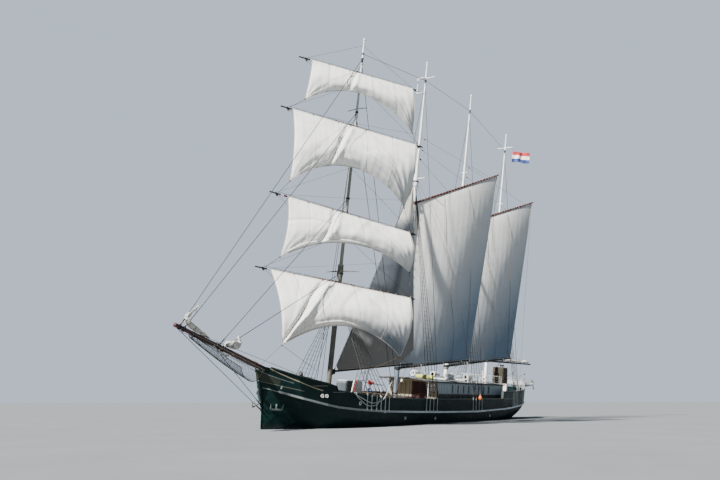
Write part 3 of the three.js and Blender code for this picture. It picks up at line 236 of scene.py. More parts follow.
def painted(name, colour, rough=0.45, worn=(0.35, 0.3, 0.25), streaks=0.35, tone=None):
    """Brushed marine paint: patchy tone, streaks that run down, small chips and brush marks."""
    p = Paint(name, specular=0.4)
    base = p.mottle(colour, 0.82, 1.12, p.noise(1.6, 5))
    if tone:
        base = tone(p, base)
    base = p.over(base, shade(colour, 0.45), p.noise(5, 4, 0.6, (1, 1, 0.08)), 0.52, 0.8, streaks)
    chips = p.noise(34, 5, 0.65)
    p.finish(p.over(base, worn, chips, 0.66, 0.72, 0.12), p.noise(9, 4), rough - 0.08, rough + 0.14)
    p.bump(p.noise(60, 3, 0.6, (1, 1, 0.35)), 0.18, 0.004)
    p.bump(chips, 0.15, 0.003)
    return p


# Painted lines on the bows and quarters: colour, weight, then the line by x0, z0, slope and curve, its half
# width and the x that it runs from and to
HULL_LINES = (
    ((0.045, 0.05, 0.035), 0.6, 23.0, 3.49, 0.30, 0.0, 0.22, 22.8, 24.3),
    ((0.15, 0.17, 0.16), 0.8, 22.13, 3.462, 0.28, 0.0338, 0.028, 22.1, 24.3),
    ((0.13, 0.13, 0.11), 0.8, 21.41, 2.925, 0.201, 0.0027, 0.028, 21.4, 24.0),
    ((0.32, 0.27, 0.19), 0.9, 20.04, 3.036, 0.23, 0.0421, 0.035, 20.1, 23.6),
    ((0.30, 0.26, 0.19), 0.6, 19.81, 3.42, -0.076, 0.0071, 0.025, 19.81, 20.9),
    ((0.15, 0.17, 0.16), 0.7, 18.09, 2.979, 0.012, -0.0156, 0.025, 18.05, 19.3),
    ((0.35, 0.36, 0.35), 0.9, 22.6, 3.08, 0.0, 0.0, 0.11, 22.6, 22.67),
    ((0.008, 0.01, 0.011), 1.0, 19.92, 2.67, 0.0, 0.0, 0.21, 19.38, 20.45),
    ((0.025, 0.045, 0.042), 0.9, -14.1, 2.9, 0.0, 0.0, 0.38, -16.1, -12.1),
    ((0.12, 0.14, 0.14), 0.8, -14.1, 2.62, 0.0, 0.0, 0.05, -16.0, -12.2),
)
HULL = {"green": (0.0025, 0.0145, 0.0145), "salt": (0.04, 0.078, 0.075), "wet": (0.035, 0.042, 0.038),
        "bottom": (0.13, 0.055, 0.03)}


def hull_paint():
    p = Paint("hull_paint", specular=0.12)
    height = p.axis(2)
    base = p.mottle(HULL["green"], 0.7, 1.5, p.noise(0.9, 6, 0.6, (1, 1, 2)))
    base = p.over(base, HULL["salt"], p.noise(3, 6, 0.7, (1, 1, 0.12)), 0.55, 0.85, 0.09)
    wet = p.math("ADD", height, p.times(p.noise(2.2, 4), 0.12))
    base = p.mix(base, HULL["wet"], p.span(wet, 0.02, 0.30, 0.8, 0))
    base = p.over(base, HULL["bottom"], height, -0.1, -0.16, 0.85)
    x, z = p.ship_axis(0), p.ship_axis(2)
    for colour, weight, x0, z0, slope, curve, half, x_from, x_to in HULL_LINES:
        ahead = p.math("SUBTRACT", x, x0)
        line = p.math("ADD", p.math("ADD", p.times(ahead, slope), p.times(ahead, ahead, curve)), z0)
        near = p.below(p.math("ABSOLUTE", p.math("SUBTRACT", z, line)), half)
        base = p.mix(base, colour, p.times(near, p.between(x, x_from, x_to), weight))
    plates = p.bricks((1, 1, 1), (0.9, 0.9, 0.9), (0, 0, 0),
                      {"Mortar Size": 0.006, "Brick Width": 2.4, "Row Height": 0.42}, (rad(90), 0, 0))
    p.finish(p.mix(base, plates[0], 0.16, "MULTIPLY"), p.noise(5, 5), 0.32, 0.55)
    p.bump(plates[0], 0.35, 0.006)
    p.bump(p.noise(1.7, 3), 0.25, 0.03)
    p.bump(p.noise(50, 3), 0.08, 0.003)
    return p


def planked(name, light=(0.36, 0.29, 0.20), dark=(0.27, 0.21, 0.145), width=0.055):
    """Laid planks with dark caulked seams and grain along them."""
    p = Paint(name, 0.75, specular=0.25)
    boards = p.bricks(light, dark, (0.03, 0.028, 0.026), {
        "Mortar Size": width * 0.05, "Mortar Smooth": 0.2, "Brick Width": width * 32, "Row Height": width})
    grain = p.noise(14, 6, 0.7, (0.08, 1, 1))
    base = p.over(boards[0], shade(dark, 0.45), grain, 0.45, 0.8, 0.55)
    p.finish(p.over(base, shade(dark, 0.6), p.noise(1.1, 5), 0.5, 0.8, 0.4), grain, 0.65, 0.85)
    p.bump(boards[1], -0.5, 0.004)
    p.bump(grain, 0.2, 0.002)
    return p


def varnished(name, colour, rough=0.35):
    p = Paint(name, rough, coat=0.35)
    grain = p.noise(9, 6, 0.7, (1, 1, 0.06), 0.4)
    base = p.over(p.mottle(colour, 0.55, 1.35, grain, 0.3, 0.72), shade(colour, 0.4), p.noise(2, 4), 0.5, 0.8,
                  0.4)
    p.finish(base, p.noise(12, 4), rough - 0.08, rough + 0.15)
    p.bump(grain, 0.12, 0.002)
    return p


def metal(name, colour, rough, metallic, rust):
    p = Paint(name, rough, metallic)
    base = p.over(p.mottle(colour, 0.7, 1.2, p.noise(12, 5)), (0.17, 0.075, 0.03), p.noise(7, 6, 0.7), 0.58,
                  0.72, rust)
    p.finish(base, p.noise(22, 4), rough - 0.1, rough + 0.2)
    p.bump(p.noise(70, 3), 0.12, 0.002)
    return p


def wire_lay(name, colour, pitch, rough=0.5, metallic=0.5):
    """Laid rope or wire: strands wind round along the height."""
    p = Paint(name, rough, metallic, specular=0.35)
    strands = p.wave("Z", pitch, 0.6, turn=(rad(35), rad(20), 0))
    base = p.over(p.mottle(colour, 0.55, 1.25, strands, 0, 1), shade(colour, 0.7), p.noise(4, 5), 0.4, 0.7,
                  0.5)
    p.finish(base, strands, rough + 0.15, rough - 0.05, 0, 1)
    p.bump(strands, 0.35, 0.003)
    return p


def rope_paint(name, colour, pitch=60, rough=0.85):
    return wire_lay(name, colour, pitch, rough, 0)


def sailcloth(name, cloths, shadow, colour=(0.86, 0.86, 0.83), dirt=0.22, bands=(), rows=3):
    """Sewn sailcloth by its UV: seams between the cloths, hems, weave and weather stains, with painted shade
    laid over them by shadow.
    """
    seam = (0.62, 0.58, 0.56)
    p = Paint(name, 0.78, sheen=0.12, specular=0.25)
    u, v = p.axis(0, "UV"), p.axis(1, "UV")
    stains = p.noise(1.3, 6, 0.6)
    base = p.mottle(colour, 0.90, 1.04, stains)
    base = p.over(base, shade(colour, 0.62), p.noise(4.5, 6, 0.7, (1, 1, 0.4)), 0.56, 0.85, dirt)
    lines = p.math("SUBTRACT", 1.0, p.span(p.math("PINGPONG", p.times(u, cloths), 0.5), 0.5, 0.478))
    base = p.mix(base, seam, p.times(lines, 0.55))
    base = p.mix(base, seam, p.times(p.span(p.math("PINGPONG", p.times(v, rows), 0.5), 0.488, 0.5), 0.35))
    for low, high, tint, weight in bands:
        base = p.mix(base, tint, p.times(p.between(v, low, high), weight))
    p.finish(shadow(p, base, u, v), stains, 0.7, 0.9)
    p.bump(p.times(p.wave("X", 260.0, 0.3, "UV"), p.wave("Y", 220.0, 0.3, "UV")), 0.12, 0.002)
    p.bump(lines, 0.5, 0.006)
    p.bump(p.noise(6, 5, 0.6, (1, 1, 0.5)), 0.22, 0.02)
    return p


def canvas_cover(name, colour):
    """Plain canvas for covers: woven, faded and stained."""
    p = Paint(name, 0.85, sheen=0.2, specular=0.2)
    fade = p.noise(2.2, 6, 0.6)
    base = p.over(p.mottle(colour, 0.7, 1.2, fade), shade(colour, 0.5), p.noise(9, 5), 0.55, 0.8, 0.5)
    p.finish(base, fade, 0.75, 0.93)
    p.bump(p.wave("DIAGONAL", 120.0, 0.5), 0.2, 0.002)
    p.bump(p.noise(12, 4), 0.35, 0.012)
    return p


def window_glass():
    p = Paint("window_glass", 0.08, specular=0.6)
    base = p.mix((0.012, 0.016, 0.02), (0.05, 0.06, 0.065), p.span(p.noise(3, 4), 0.35, 0.7))
    p.finish(base, p.noise(14, 4), 0.05, 0.18)
    p.bump(p.noise(5, 2), 0.05, 0.002)
    return p


def striped(name, stripes):
    """Bunting with stripes: (v where the stripe starts, colour)."""
    p = Paint(name, 0.75, sheen=0.2, specular=0.2)
    v, base = p.axis(1, "UV"), stripes[0][1]
    for low, colour in stripes[1:]:
        base = p.mix(base, colour, p.above(v, low))
    fade = p.noise(6, 5)
    p.finish(p.over(base, (0.5, 0.5, 0.5), fade, 0.45, 0.9, 0.25), fade, 0.65, 0.85)
    p.bump(p.wave("DIAGONAL", 90.0, 0.3, "UV"), 0.15, 0.002)
    return p


class Kit:
    """Points and faces gathered into one piece."""

    def __init__(self):
        self.points, self.faces = [], []

    def loft(self, rings, closed=False, capped=True):
        first, sides, count = len(self.points), len(rings[0]), len(rings)
        self.points += [p for ring in rings for p in ring]
        for i in range(count if closed else count - 1):
            a, b = first + i * sides, first + (i + 1) % count * sides
            self.faces += [[a + k, a + (k + 1) % sides, b + (k + 1) % sides, b + k] for k in range(sides)]
        if capped and not closed:
            last = first + (count - 1) * sides
            self.faces += [[first + k for k in reversed(range(sides))], [last + k for k in range(sides)]]

    def tube(self, path, radius, sides=6, closed=False):
        """A round bar along a path. radius may be one value or one for each point."""
        count, side, rings = len(path), None, []
        radii = radius if isinstance(radius, list) else [radius] * count
        for i, p in enumerate(path):
            ahead = path[(i + 1) % count] if closed or i + 1 < count else p
            behind = path[i - 1] if closed or i else p
            way = (ahead - behind).normalized()
            side = (side - way * side.dot(way) if side else way.orthogonal()).normalized()
            other = way.cross(side)
            rings.append([p + (side * c + other * s) * radii[i] for c, s in circle(sides)])
        self.loft(rings, closed)

    def line(self, a, b, radius, sides=6):
        """A straight wire with a point halfway."""
        self.tube([a, a.lerp(b, 0.5), b], radius, sides)

    def lathe(self, profile, origin, axis=UP, sides=16):
        """Rings of (distance along the axis, radius), closed at both ends."""
        axis = axis.normalized()
        side = axis.orthogonal().normalized()
        other = axis.cross(side)
        self.loft([[origin + axis * far + (side * c + other * s) * radius for c, s in circle(sides, 0.5)]
                   for far, radius in profile])

    def block(self, centre, size, axes=(AHEAD, PORT, UP), bevel=0.01):
        """A box with its edges cut back by bevel."""
        half = [s / 2 for s in size]
        b = min(bevel, *[h * 0.95 for h in half])
        first, index = len(self.points), {}
        for corner in product(SIDES, repeat=3):
            for which in range(3):
                index[corner, which] = len(self.points)
                offset = [s * (h if k == which else h - b) for k, (s, h) in enumerate(zip(corner, half))]
                self.points.append(centre + axes[0] * offset[0] + axes[1] * offset[1] + axes[2] * offset[2])

        def key(which, *signs):
            return tuple(signs[(k - which) % 3] for k in range(3))

        def add(face, outward):
            self.faces.append(face if outward > 0 else face[::-1])

        for w in range(3):
            for s in SIDES:
                add([index[key(w, s, *pair), w] for pair in ((-1, -1), (1, -1), (1, 1), (-1, 1))], s)
            for sa, sc in product(SIDES, repeat=2):
                (a, c), (d, e) = [[index[key(w, s, sa, sc), (w + k) % 3] for k in (1, 2)] for s in SIDES]
                add([a, d, e, c], sa * sc)
        for corner in product(SIDES, repeat=3):
            add([index[corner, k] for k in range(3)], corner[0] * corner[1] * corner[2])

    def sphere(self, centre, radius, flat=1.0, sides=12):
        self.lathe([(-cos(pi * s) * radius * flat, max(sin(pi * s) * radius, radius * 0.02))
                    for s in steps(sides // 2)],
                   centre, UP, sides)

    def ring(self, centre, axis, radius, thick, sides=6, count=20):
        side = axis.normalized().orthogonal().normalized()
        other = axis.normalized().cross(side)
        self.tube([centre + (side * c + other * s) * radius for c, s in circle(count)], thick, sides, True)

    def band(self, centre, axis, radius, long=0.12, thick=0.02):
        self.lathe([(-long / 2, radius), (-long / 2, radius + thick), (long / 2, radius + thick),
                    (long / 2, radius)],
                   centre, axis)

    def make(self, name, paint, slot="wire_rope", body="ship", replaces=()):
        mesh = bpy.data.meshes.new(name)
        mesh.from_pydata([p * HALF for p in self.points], [], self.faces)
        return finish_piece(name, mesh, paint, body, slot, replaces)


def kits(count):
    return [Kit() for _ in range(count)]


def finish_piece(name, mesh, paint, body, slot, replaces=(), corner=40):
    mesh.validate()
    mesh.update()
    mesh.polygons.foreach_set("use_smooth", [True] * len(mesh.polygons))
    mesh.set_sharp_from_angle(angle=rad(corner))
    mesh.materials.append(paint.material)
    piece = link(name, mesh)
    if body:
        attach(piece, body)
    if replaces:
        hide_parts(*replaces)
    return piece


def cloth_piece(name, surface, paint, body, grid, replaces=(), thick=0.008):
    """A hung sheet from surface(u, v) with its UV, smooth on both sides."""
    across, down = grid
    mesh = bpy.data.meshes.new(name)
    faces = [[a, a + 1, a + across + 2, a + across + 1]
             for a in (j * (across + 1) + i for j in range(down) for i in range(across))]
    mesh.from_pydata([surface(u, v) * HALF for v in steps(down) for u in steps(across)], [], faces)
    uvs = [(u, v) for v in steps(down) for u in steps(across)]
    for loop, corner in zip(mesh.uv_layers.new(name="cloth").data, (k for face in faces for k in face)):
        loop.uv = uvs[corner]
    piece = finish_piece(name, mesh, paint, body, "canvas", replaces, corner=180)
    solid = piece.modifiers.new("thickness", "SOLIDIFY")
    solid.thickness, solid.offset = thick * HALF, 0


def edge_rope(name, surface, radius, paint, body):
    kit = Kit()
    for line in (lambda s: (s, 0), lambda s: (s, 1), lambda s: (0, s), lambda s: (1, s)):
        kit.tube([surface(*line(s)) for s in steps(40)], radius, 5)
    kit.make(name, paint, "canvas", body)


def table(fields, *rows):
    return {name: dict(zip(fields.split(), row)) for name, *row in rows}


# Masts and spars, as in the source of the solids
MASTS = table("x rake radius lower truck top",
              ("fore", 15.5, 1.8, 0.22, 13.2, 34, 0.07), ("main", 4.88, 3.11, 0.21, 24.2, 36.6, 0.06),
              ("mizzen", -4.96, 4.36, 0.21, 24.2, 37.05, 0.06),
              ("jigger", -15.08, 5.43, 0.19, 24.0, 35.7, 0.06))
DOUBLING = {"below": 0.9, "above": 0.12, "swell": 1.12}
TRUSS, BRACE, YARD_SLIDE = 0.6, 46, 0.3
YARDS = table("z length tilt head clews arch belly leech lee",
              ("course", 11.66, 13.5, 4.5, (-5.41, 6.58), ((-3.79, 5.57), (6.06, 5.52)), 2.0, 1.5, 1.0, 0.25),
              ("topsail", 17.68, 12.8, 8.5, (-4.75, 5.99), ((-4.8, 4.49), (6.29, 4.38)), 1.75, 0.95, 0.6,
               0.25),
              ("topgallant", 25.47, 12.7, 7, (-5.21, 5.91), ((-4.74, 5.74), (5.33, 6.6)), 2.2, 1.3, 0.8,
               0.15),
              ("royal", 30.48, 10.6, 6, (-4.06, 5.19), ((-4.3, 3.33), (5.46, 4.72)), 1.9, 0.72, 0.4, 0.05))


def on_mast(name, z, forward=0.0, port=0.0):
    x, r = MASTS[name]["x"], rad(MASTS[name]["rake"])
    return at(x + forward * cos(r) - z * sin(r), port, forward * sin(r) + z * cos(r))


def mast_axis(name):
    return on_mast(name, 1) - on_mast(name, 0)


def mast_radius(name, z):
    m = MASTS[name]
    if m["lower"] - DOUBLING["below"] < z < m["lower"] + DOUBLING["above"]:
        return m["radius"] * DOUBLING["swell"]
    if z <= m["lower"]:
        return m["radius"]
    heel = m["radius"] * 0.72
    return heel + (m["top"] - heel) * (z - m["lower"]) / (m["truck"] - m["lower"])


def mast_band(kit, name, z, long=0.14):
    kit.band(on_mast(name, z), mast_axis(name), mast_radius(name, z - 0.06), long, 0.045)


def braced(p):
    return Matrix.Rotation(rad(BRACE), 3, "Z") @ p


def yard_point(name, p):
    """From a yard's frame, x forward, y along it to port and level, to the ship's."""
    turned = braced(p)
    return on_mast("fore", YARDS[name]["z"] + turned.z, TRUSS + turned.x, turned.y)


def yard_spot(name, y, forward=0.0, up=0.0):
    """A point on a yard's own sloping line, at y along it."""
    return yard_point(name, at(forward, y, up - y * tan(rad(YARDS[name]["tilt"]))))


def yard_ends(name, inset):
    half = YARDS[name]["length"] / 2 - inset
    return YARD_SLIDE - half, YARD_SLIDE + half


def yard_radius(name):
    return 0.13 if YARDS[name]["length"] > 11 else 0.1


def fold_height(u, v, size, folds):
    """Each fold is a line of (u, v) with a width and a height in metres; a negative height is a valley."""
    wide, deep = size
    total = 0.0
    for line, width, height in folds:
        gaps = []
        for (u0, v0), (u1, v1) in zip(line, line[1:]):
            px, py, dx, dy = (u - u0) * wide, (v - v0) * deep, (u1 - u0) * wide, (v1 - v0) * deep
            share = max(0, min(1, (px * dx + py * dy) / (dx * dx + dy * dy)))
            gaps.append(hypot(px - dx * share, py - dy * share))
        total += height * exp(-(min(gaps) / width) ** 2)
    return total


def fan(u, v, size, corners):
    """Creases that radiate from corners: (u, v, count, reach, height)."""
    total = 0.0
    for cu, cv, count, reach, height in corners:
        dx, dy = (u - cu) * size[0], (v - cv) * size[1]
        far, angle = hypot(dx, dy), atan2(dy, dx)
        total += height * sin(angle * count + sin(angle * 3.1) * 1.3) * exp(-far / reach) * min(1, far / 0.5)
    return total


def ripples(p, scale, height):
    return noise.noise(p * scale) * height


SQUARE_FOLDS = {
    "course": (
        ([(0.37, 0), (0.24, 0.33), (0.12, 0.72), (0, 1)], 0.13, -0.22),
        ([(0.42, 0), (0.30, 0.33), (0.18, 0.7), (0.02, 1)], 0.2, 0.19),
        ([(0.47, 0), (0.36, 0.35), (0.23, 0.75)], 0.09, -0.06),
        ([(0.20, 0), (0.13, 0.4), (0.05, 0.8)], 0.1, -0.045),
        ([(0.02, 0.97), (0.25, 0.9), (0.46, 0.88), (0.7, 1.03)], 0.14, 0.09),
        ([(0.02, 0.99), (0.25, 0.97), (0.5, 0.96), (0.78, 1.06)], 0.1, -0.08)),
    "topsail": (
        ([(0.37, 0), (0.33, 0.4), (0.27, 0.95)], 0.15, -0.14),
        ([(0.42, 0), (0.38, 0.4), (0.32, 0.95)], 0.2, 0.1),
        ([(0.3, 0.93), (0.45, 0.9), (0.62, 0.92)], 0.1, 0.09),
        ([(0.05, 0.96), (0.2, 0.92), (0.32, 0.95)], 0.09, 0.07),
        ([(0.3, 0.97), (0.5, 0.96), (0.75, 0.97)], 0.08, -0.08),
        ([(0.0, 0.42), (0.2, 0.36), (0.34, 0.4)], 0.12, -0.05)),
    "topgallant": (
        ([(0.44, 0), (0.36, 0.45), (0.3, 0.95)], 0.16, -0.17),
        ([(0.48, 0), (0.40, 0.45), (0.34, 0.95)], 0.2, 0.12),
        ([(0.0, 0.07), (1.0, 0.07)], 0.05, 0.03), ([(0.99, 0.99), (0.84, 0.6), (0.7, 0.4)], 0.15, -0.07),
        ([(0.97, 0.99), (0.78, 0.68), (0.6, 0.55)], 0.15, 0.07)),
    "royal": (
        ([(0.42, 0), (0.39, 0.45), (0.36, 0.95)], 0.12, -0.08),
        ([(0.46, 0), (0.43, 0.45), (0.40, 0.95)], 0.14, 0.07),
        ([(0.36, 1.0), (0.42, 0.94), (0.5, 1.0)], 0.08, 0.09)),
}
SQUARE_FANS = {
    "course": ((0, 1, 17, 1.6, 0.05), (1, 1, 23, 2.0, 0.07)),
    "topsail": ((0, 1, 15, 1.3, 0.045), (1, 1, 19, 1.6, 0.06)),
    "topgallant": ((0, 1, 15, 1.5, 0.045), (1, 1, 21, 2.4, 0.07)),
    "royal": ((0, 1, 13, 1.2, 0.04), (1, 1, 17, 1.6, 0.05)),
}
# How strongly painted shade darkens the lower lee corner of each square sail
LEE_SHADE = {"course": 0.96, "topsail": 0.5, "topgallant": 0.45, "royal": 0.4}
CLOTH_WIDTH = 0.66


def square_surface(name):
    plan = YARDS[name]
    front = max(yard_radius(name), 0.12) + 0.023
    slope = tan(rad(plan["tilt"]))
    weather, port = [at(front, side, -side * slope) for side in plan["head"]]
    tack, clew = [at(front, side, -fall) for side, fall in plan["clews"]]
    size = ((port - weather).length, ((weather - tack).length + (port - clew).length) / 2)

    def surface(u, v):
        across = 2 * u - 1
        edge, held, quiet = across ** 4, sin(pi * v), min(1, v * 12)
        swell = plan["belly"] * sin(pi * 0.77 * v) * (1 - edge) ** 0.8 + plan["leech"] * held * edge
        p = weather.lerp(port, u).lerp(tack.lerp(clew, u), v)
        relief = fold_height(u, v, size, SQUARE_FOLDS[name]) + fan(u, v, size, SQUARE_FANS[name])
        relief += ripples(at(u * size[0], v * size[1], plan["z"]), 0.9, 0.06)
        relief += 0.006 * cos(u * 2 * pi * round(size[0] / CLOTH_WIDTH))
        p += at(swell + relief * quiet, plan["lee"] * held, plan["arch"] * v ** 1.5 * (1 - across ** 2))
        return yard_point(name, p)

    return surface, size


def square_sails():
    rope, hem_and_shade = rope_paint("bolt_rope", (0.55, 0.52, 0.46), rough=0.8), (0.45, 0.47, 0.5)
    for name in YARDS:
        surface, size = square_surface(name)

        # Painted shade: the lower lee corner of the sail turns blue grey, away from the light
        def painted_lee_shade(p, base, u, v):
            share = p.times(p.span(u, 0.45, 0.85), p.span(v, 0.35, 0.88), LEE_SHADE[name])
            return p.mix(base, (0.10, 0.135, 0.17), share)

        # The blue-grey bands along the foot and the head are the hems, with painted shade of the foot's
        # shadowed underside
        cloth = sailcloth(f"canvas_{name}", round(size[0] / CLOTH_WIDTH), painted_lee_shade,
                          bands=[(0.965, 1.0, hem_and_shade, 0.35), (0.0, 0.03, hem_and_shade, 0.25)])
        cloth_piece(f"{name}_canvas", surface, cloth, name, (96, 60),
                    [f"{name}_sail"])
        edge_rope(f"{name}_bolt_rope", surface, 0.028, rope, name)


square_sails()

# Booms and gaffs: mast, height, swing, reach and rise
SPARS = {"main_boom": ("main", 5.07, 22, 9.15, 1.37), "main_gaff": ("main", 21.34, 31, 10.0, 4.8),
         "mizzen_boom": ("mizzen", 5.66, 22, 9.6, 1.5), "mizzen_gaff": ("mizzen", 21.24, 30, 10.15, 4.4),
         "jigger_boom": ("jigger", 6.7, 9, 10.2, 0.1)}
GAFF_SAILS = {"main": "mainsail", "mizzen": "mizzen_sail"}
SPAR = 0.11


def spar_way(spar, share=1.0, rise_share=None):
    _, _, swing, reach, rise = SPARS[spar]
    return at(-reach * share * cos(rad(swing)), reach * share * sin(rad(swing)),
              rise * (share if rise_share is None else rise_share))


def on_spar(spar, *shares):
    return on_mast(*SPARS[spar][:2]) + spar_way(spar, *shares)


def abeam(swing):
    """Square to a sail that is swung by so many degrees, to port."""
    return at(sin(rad(swing)), cos(rad(swing)), 0)


def gaff_surface(name):
    _, low_z, low_swing, low_reach, low_rise = SPARS[f"{name}_boom"]
    _, high_z, high_swing, high_reach, high_rise = SPARS[f"{name}_gaff"]
    tack, throat = on_mast(name, low_z), on_mast(name, high_z)
    clew, peak = on_spar(f"{name}_boom", 1 - 0.15 / low_reach), on_spar(f"{name}_gaff", 1 - 0.15 / high_reach)
    luff, clear = mast_radius(name, low_z) + 0.12, SPAR + 0.001
    low_share, high_share = luff / (clew - tack).length, luff / (peak - throat).length

    def surface(u, v):
        low, high = tack.lerp(clew, lerp(low_share, 1, u)), throat.lerp(peak, lerp(high_share, 1, u))
        low.z += clear * hypot(1, low_rise / low_reach)
        high.z -= clear * hypot(1, high_rise / high_reach)
        swell = 0.75 * sin(pi * u) * sin(pi * v) ** 0.7
        held = min(1, 8 * v, 8 * (1 - v)) * min(1, 8 * u, 8 * (1 - u))
        folds = 0.03 * sin(u * 60) * exp(-u * 9) + 0.004 * cos(u * 2 * pi * 14)
        folds += ripples(at(u * 5, v * 9, low_z), 0.5, 0.03) + ripples(at(u * 6, v * 3, low_z), 1.1, 0.008)
        return low.lerp(high, v) + abeam(lerp(low_swing, high_swing, v)) * (swell + folds * held)

    return surface, (low_reach, (throat - tack).length)


def gaff_sails():
    rope = rope_paint("gaff_bolt_rope", (0.55, 0.52, 0.46), rough=0.8)

    # Painted shade: the gaff sails darken to blue grey towards the foot and towards the leech
    def painted_low_shade(p, base, u, v):
        share = p.math("ADD", p.span(v, 0.85, 0.05, 0, 0.78), p.span(u, 0.35, 1.0, 0, 0.42), clamp=True)
        return p.mix(base, (0.155, 0.22, 0.30), share)

    for name, node in GAFF_SAILS.items():
        surface, size = gaff_surface(name)
        cloth = sailcloth(f"canvas_{name}", 14, painted_low_shade, (0.84, 0.83, 0.80), 0.15, rows=2)
        cloth_piece(f"{name}_gaff_canvas", surface, cloth, f"{name}_boom", (64, 90),
                    [node])
        edge_rope(f"{name}_sail_bolt_rope", surface, 0.022, rope, f"{name}_boom")


gaff_sails()

STAY_TACK = at(14.82, 0, 4.42)
STAY_HEAD = on_mast("main", 23.6, mast_radius("main", 23.6) + 0.03)
STAY_LENGTH = (STAY_HEAD - STAY_TACK).length
STAY_BOOM = {"swing": 14, "reach": 9.3, "rise": 1.15, "radius": 0.09}


def along_stay(distance):
    return STAY_TACK + (STAY_HEAD - STAY_TACK).normalized() * distance


def stay_boom_tip(reach=STAY_BOOM["reach"]):
    swing = rad(STAY_BOOM["swing"])
    return STAY_TACK + at(-reach * cos(swing), reach * sin(swing),
                          STAY_BOOM["rise"] * reach / STAY_BOOM["reach"])


def staysail_surface():
    swing = rad(STAY_BOOM["swing"])
    aft = at(-cos(swing), sin(swing), 0) * 0.06
    luff_start, head = along_stay(0.42) + aft, along_stay(STAY_LENGTH - 0.5) + aft
    rest = UP * (STAY_BOOM["radius"] + 0.002)
    tack, foot_end = [STAY_TACK.lerp(stay_boom_tip(), share) + rest for share in (0.05, 0.8)]
    clew = stay_boom_tip(STAY_BOOM["reach"] - 0.1) + UP * 1.25
    side, along = abeam(STAY_BOOM["swing"]), (stay_boom_tip() - STAY_TACK).normalized()

    def surface(u, v):
        low = tack.lerp(foot_end, u / 0.8) if u < 0.8 else foot_end.lerp(clew, (u - 0.8) / 0.2)
        luff = tack.lerp(luff_start, v / 0.02) if v < 0.02 else luff_start.lerp(head, (v - 0.02) / 0.98)
        sag = (low - tack.lerp(clew, u)) * (1 - v) ** 3
        swell = 0.55 * sin(pi * u) * sin(pi * min(v + 0.06, 1))
        folds = 0.015 * sin(u * 40 + v * 9) * exp(-v * 4) + ripples(at(u * 5, v * 9, 3), 0.5, 0.06)
        swell += folds * min(1, 8 * u, 8 * (1 - u), 8 * v)
        return luff.lerp(clew.lerp(head, v), u) + sag + along * (0.12 * u * (1 - v)) + side * swell

    return surface


def staysail():
    # Painted shadow: below its lit head the staysail is darkened blue grey, darkest in a band across the
    # middle on the luff side, and brown grey towards the foot, where the square sails shade it
    def painted_staysail_shadow(p, base, u, v):
        base = p.over(base, (0.17, 0.20, 0.235), v, 0.80, 0.74, 0.85)
        middle = p.times(p.span(v, 0.80, 0.72), p.span(v, 0.25, 0.38), p.span(u, 0.62, 0.50, 0, 0.9))
        return p.over(p.mix(base, (0.055, 0.07, 0.088), middle), (0.16, 0.14, 0.12), v, 0.45, 0.1, 0.6)

    surface = staysail_surface()
    cloth = sailcloth("canvas_staysail", 12, painted_staysail_shadow, (0.80, 0.77, 0.70), rows=2)
    cloth_piece("staysail_canvas", surface, cloth, "staysail", (56, 80),
                ["main_staysail"])
    rope = rope_paint("staysail_rope", (0.5, 0.47, 0.42), rough=0.8)
    edge_rope("staysail_bolt_rope", surface, 0.022, rope, "staysail")


staysail()

# Paint for the nodes that are shown as they are
YARD_WAY = Matrix.Rotation(rad(-MASTS["fore"]["rake"]), 3, "Y") @ braced(PORT)
MAROON, BLACK = (0.085, 0.017, 0.02), (0.012, 0.012, 0.013)
WHITE, BUFF_IN_SHADE = (0.80, 0.81, 0.80), (0.11, 0.105, 0.09)
MAST_GREY, MAST_PALE, SHADE_BLUE = (0.23, 0.225, 0.185), (0.38, 0.42, 0.39), (0.12, 0.155, 0.20)
STRAKE_GREY, DARK_GREEN = (0.76, 0.85, 0.86), (0.02, 0.03, 0.028)
RUSTY = (0.2, 0.1, 0.05)


def yard_tone(name):
    """Pale, then black, towards the yard's ends."""
    def tone(p, base):
        far = p.math("ABSOLUTE", p.math("SUBTRACT", p.along(YARD_WAY, yard_spot(name, 0)), YARD_SLIDE))
        half = YARDS[name]["length"] / 2
        return p.mix(p.mix(base, (0.55, 0.55, 0.53), p.above(far, half - 1.0)), BLACK,
                     p.above(far, half - 0.75))
    return tone


def mast_tone(*bands):
    """Bands of colour up a mast: (height, colour above it)."""
    def tone(p, base):
        for z, colour in bands:
            base = p.mix(base, colour, p.above(p.ship_axis(2), z))
        return base
    return tone


def wall_tone(p, base):
    """Olive on the front wall only; grey sides; painted shade along the foot of the walls and over the lower
    side walls.
    """
    aft, z = p.below(p.ship_axis(0), 1.55), p.ship_axis(2)
    base = p.mix(p.mix(base, (0.38, 0.46, 0.50), aft), (0.02, 0.02, 0.019), p.below(z, 2.45))
    return p.mix(base, (0.03, 0.034, 0.034), p.times(p.below(z, 2.95), aft))


def rudder_tone(p, base):
    """Bottom paint below the water, as on the hull."""
    return p.mix(base, (0.115, 0.05, 0.029), p.below(p.axis(2), -0.13))


def strake_bow_shade(p, base):
    """Painted shade: duller towards the bow, to offset the light that falls straight on it there."""
    return p.over(base, shade(STRAKE_GREY, 0.2), p.axis(0), 2.0, 7.5, 0.95)


def companion_front_shade(p, base):
    """Painted shade: the front is a darker blue grey than the sides."""
    return p.mix(base, (0.032, 0.045, 0.053), p.times(p.above(p.facing(0), 0.5), 0.96))


def roof_tone(p, base):
    """The roof is tan underneath."""
    return p.mix(base, (0.30, 0.20, 0.11), p.below(p.facing(2), -0.5))


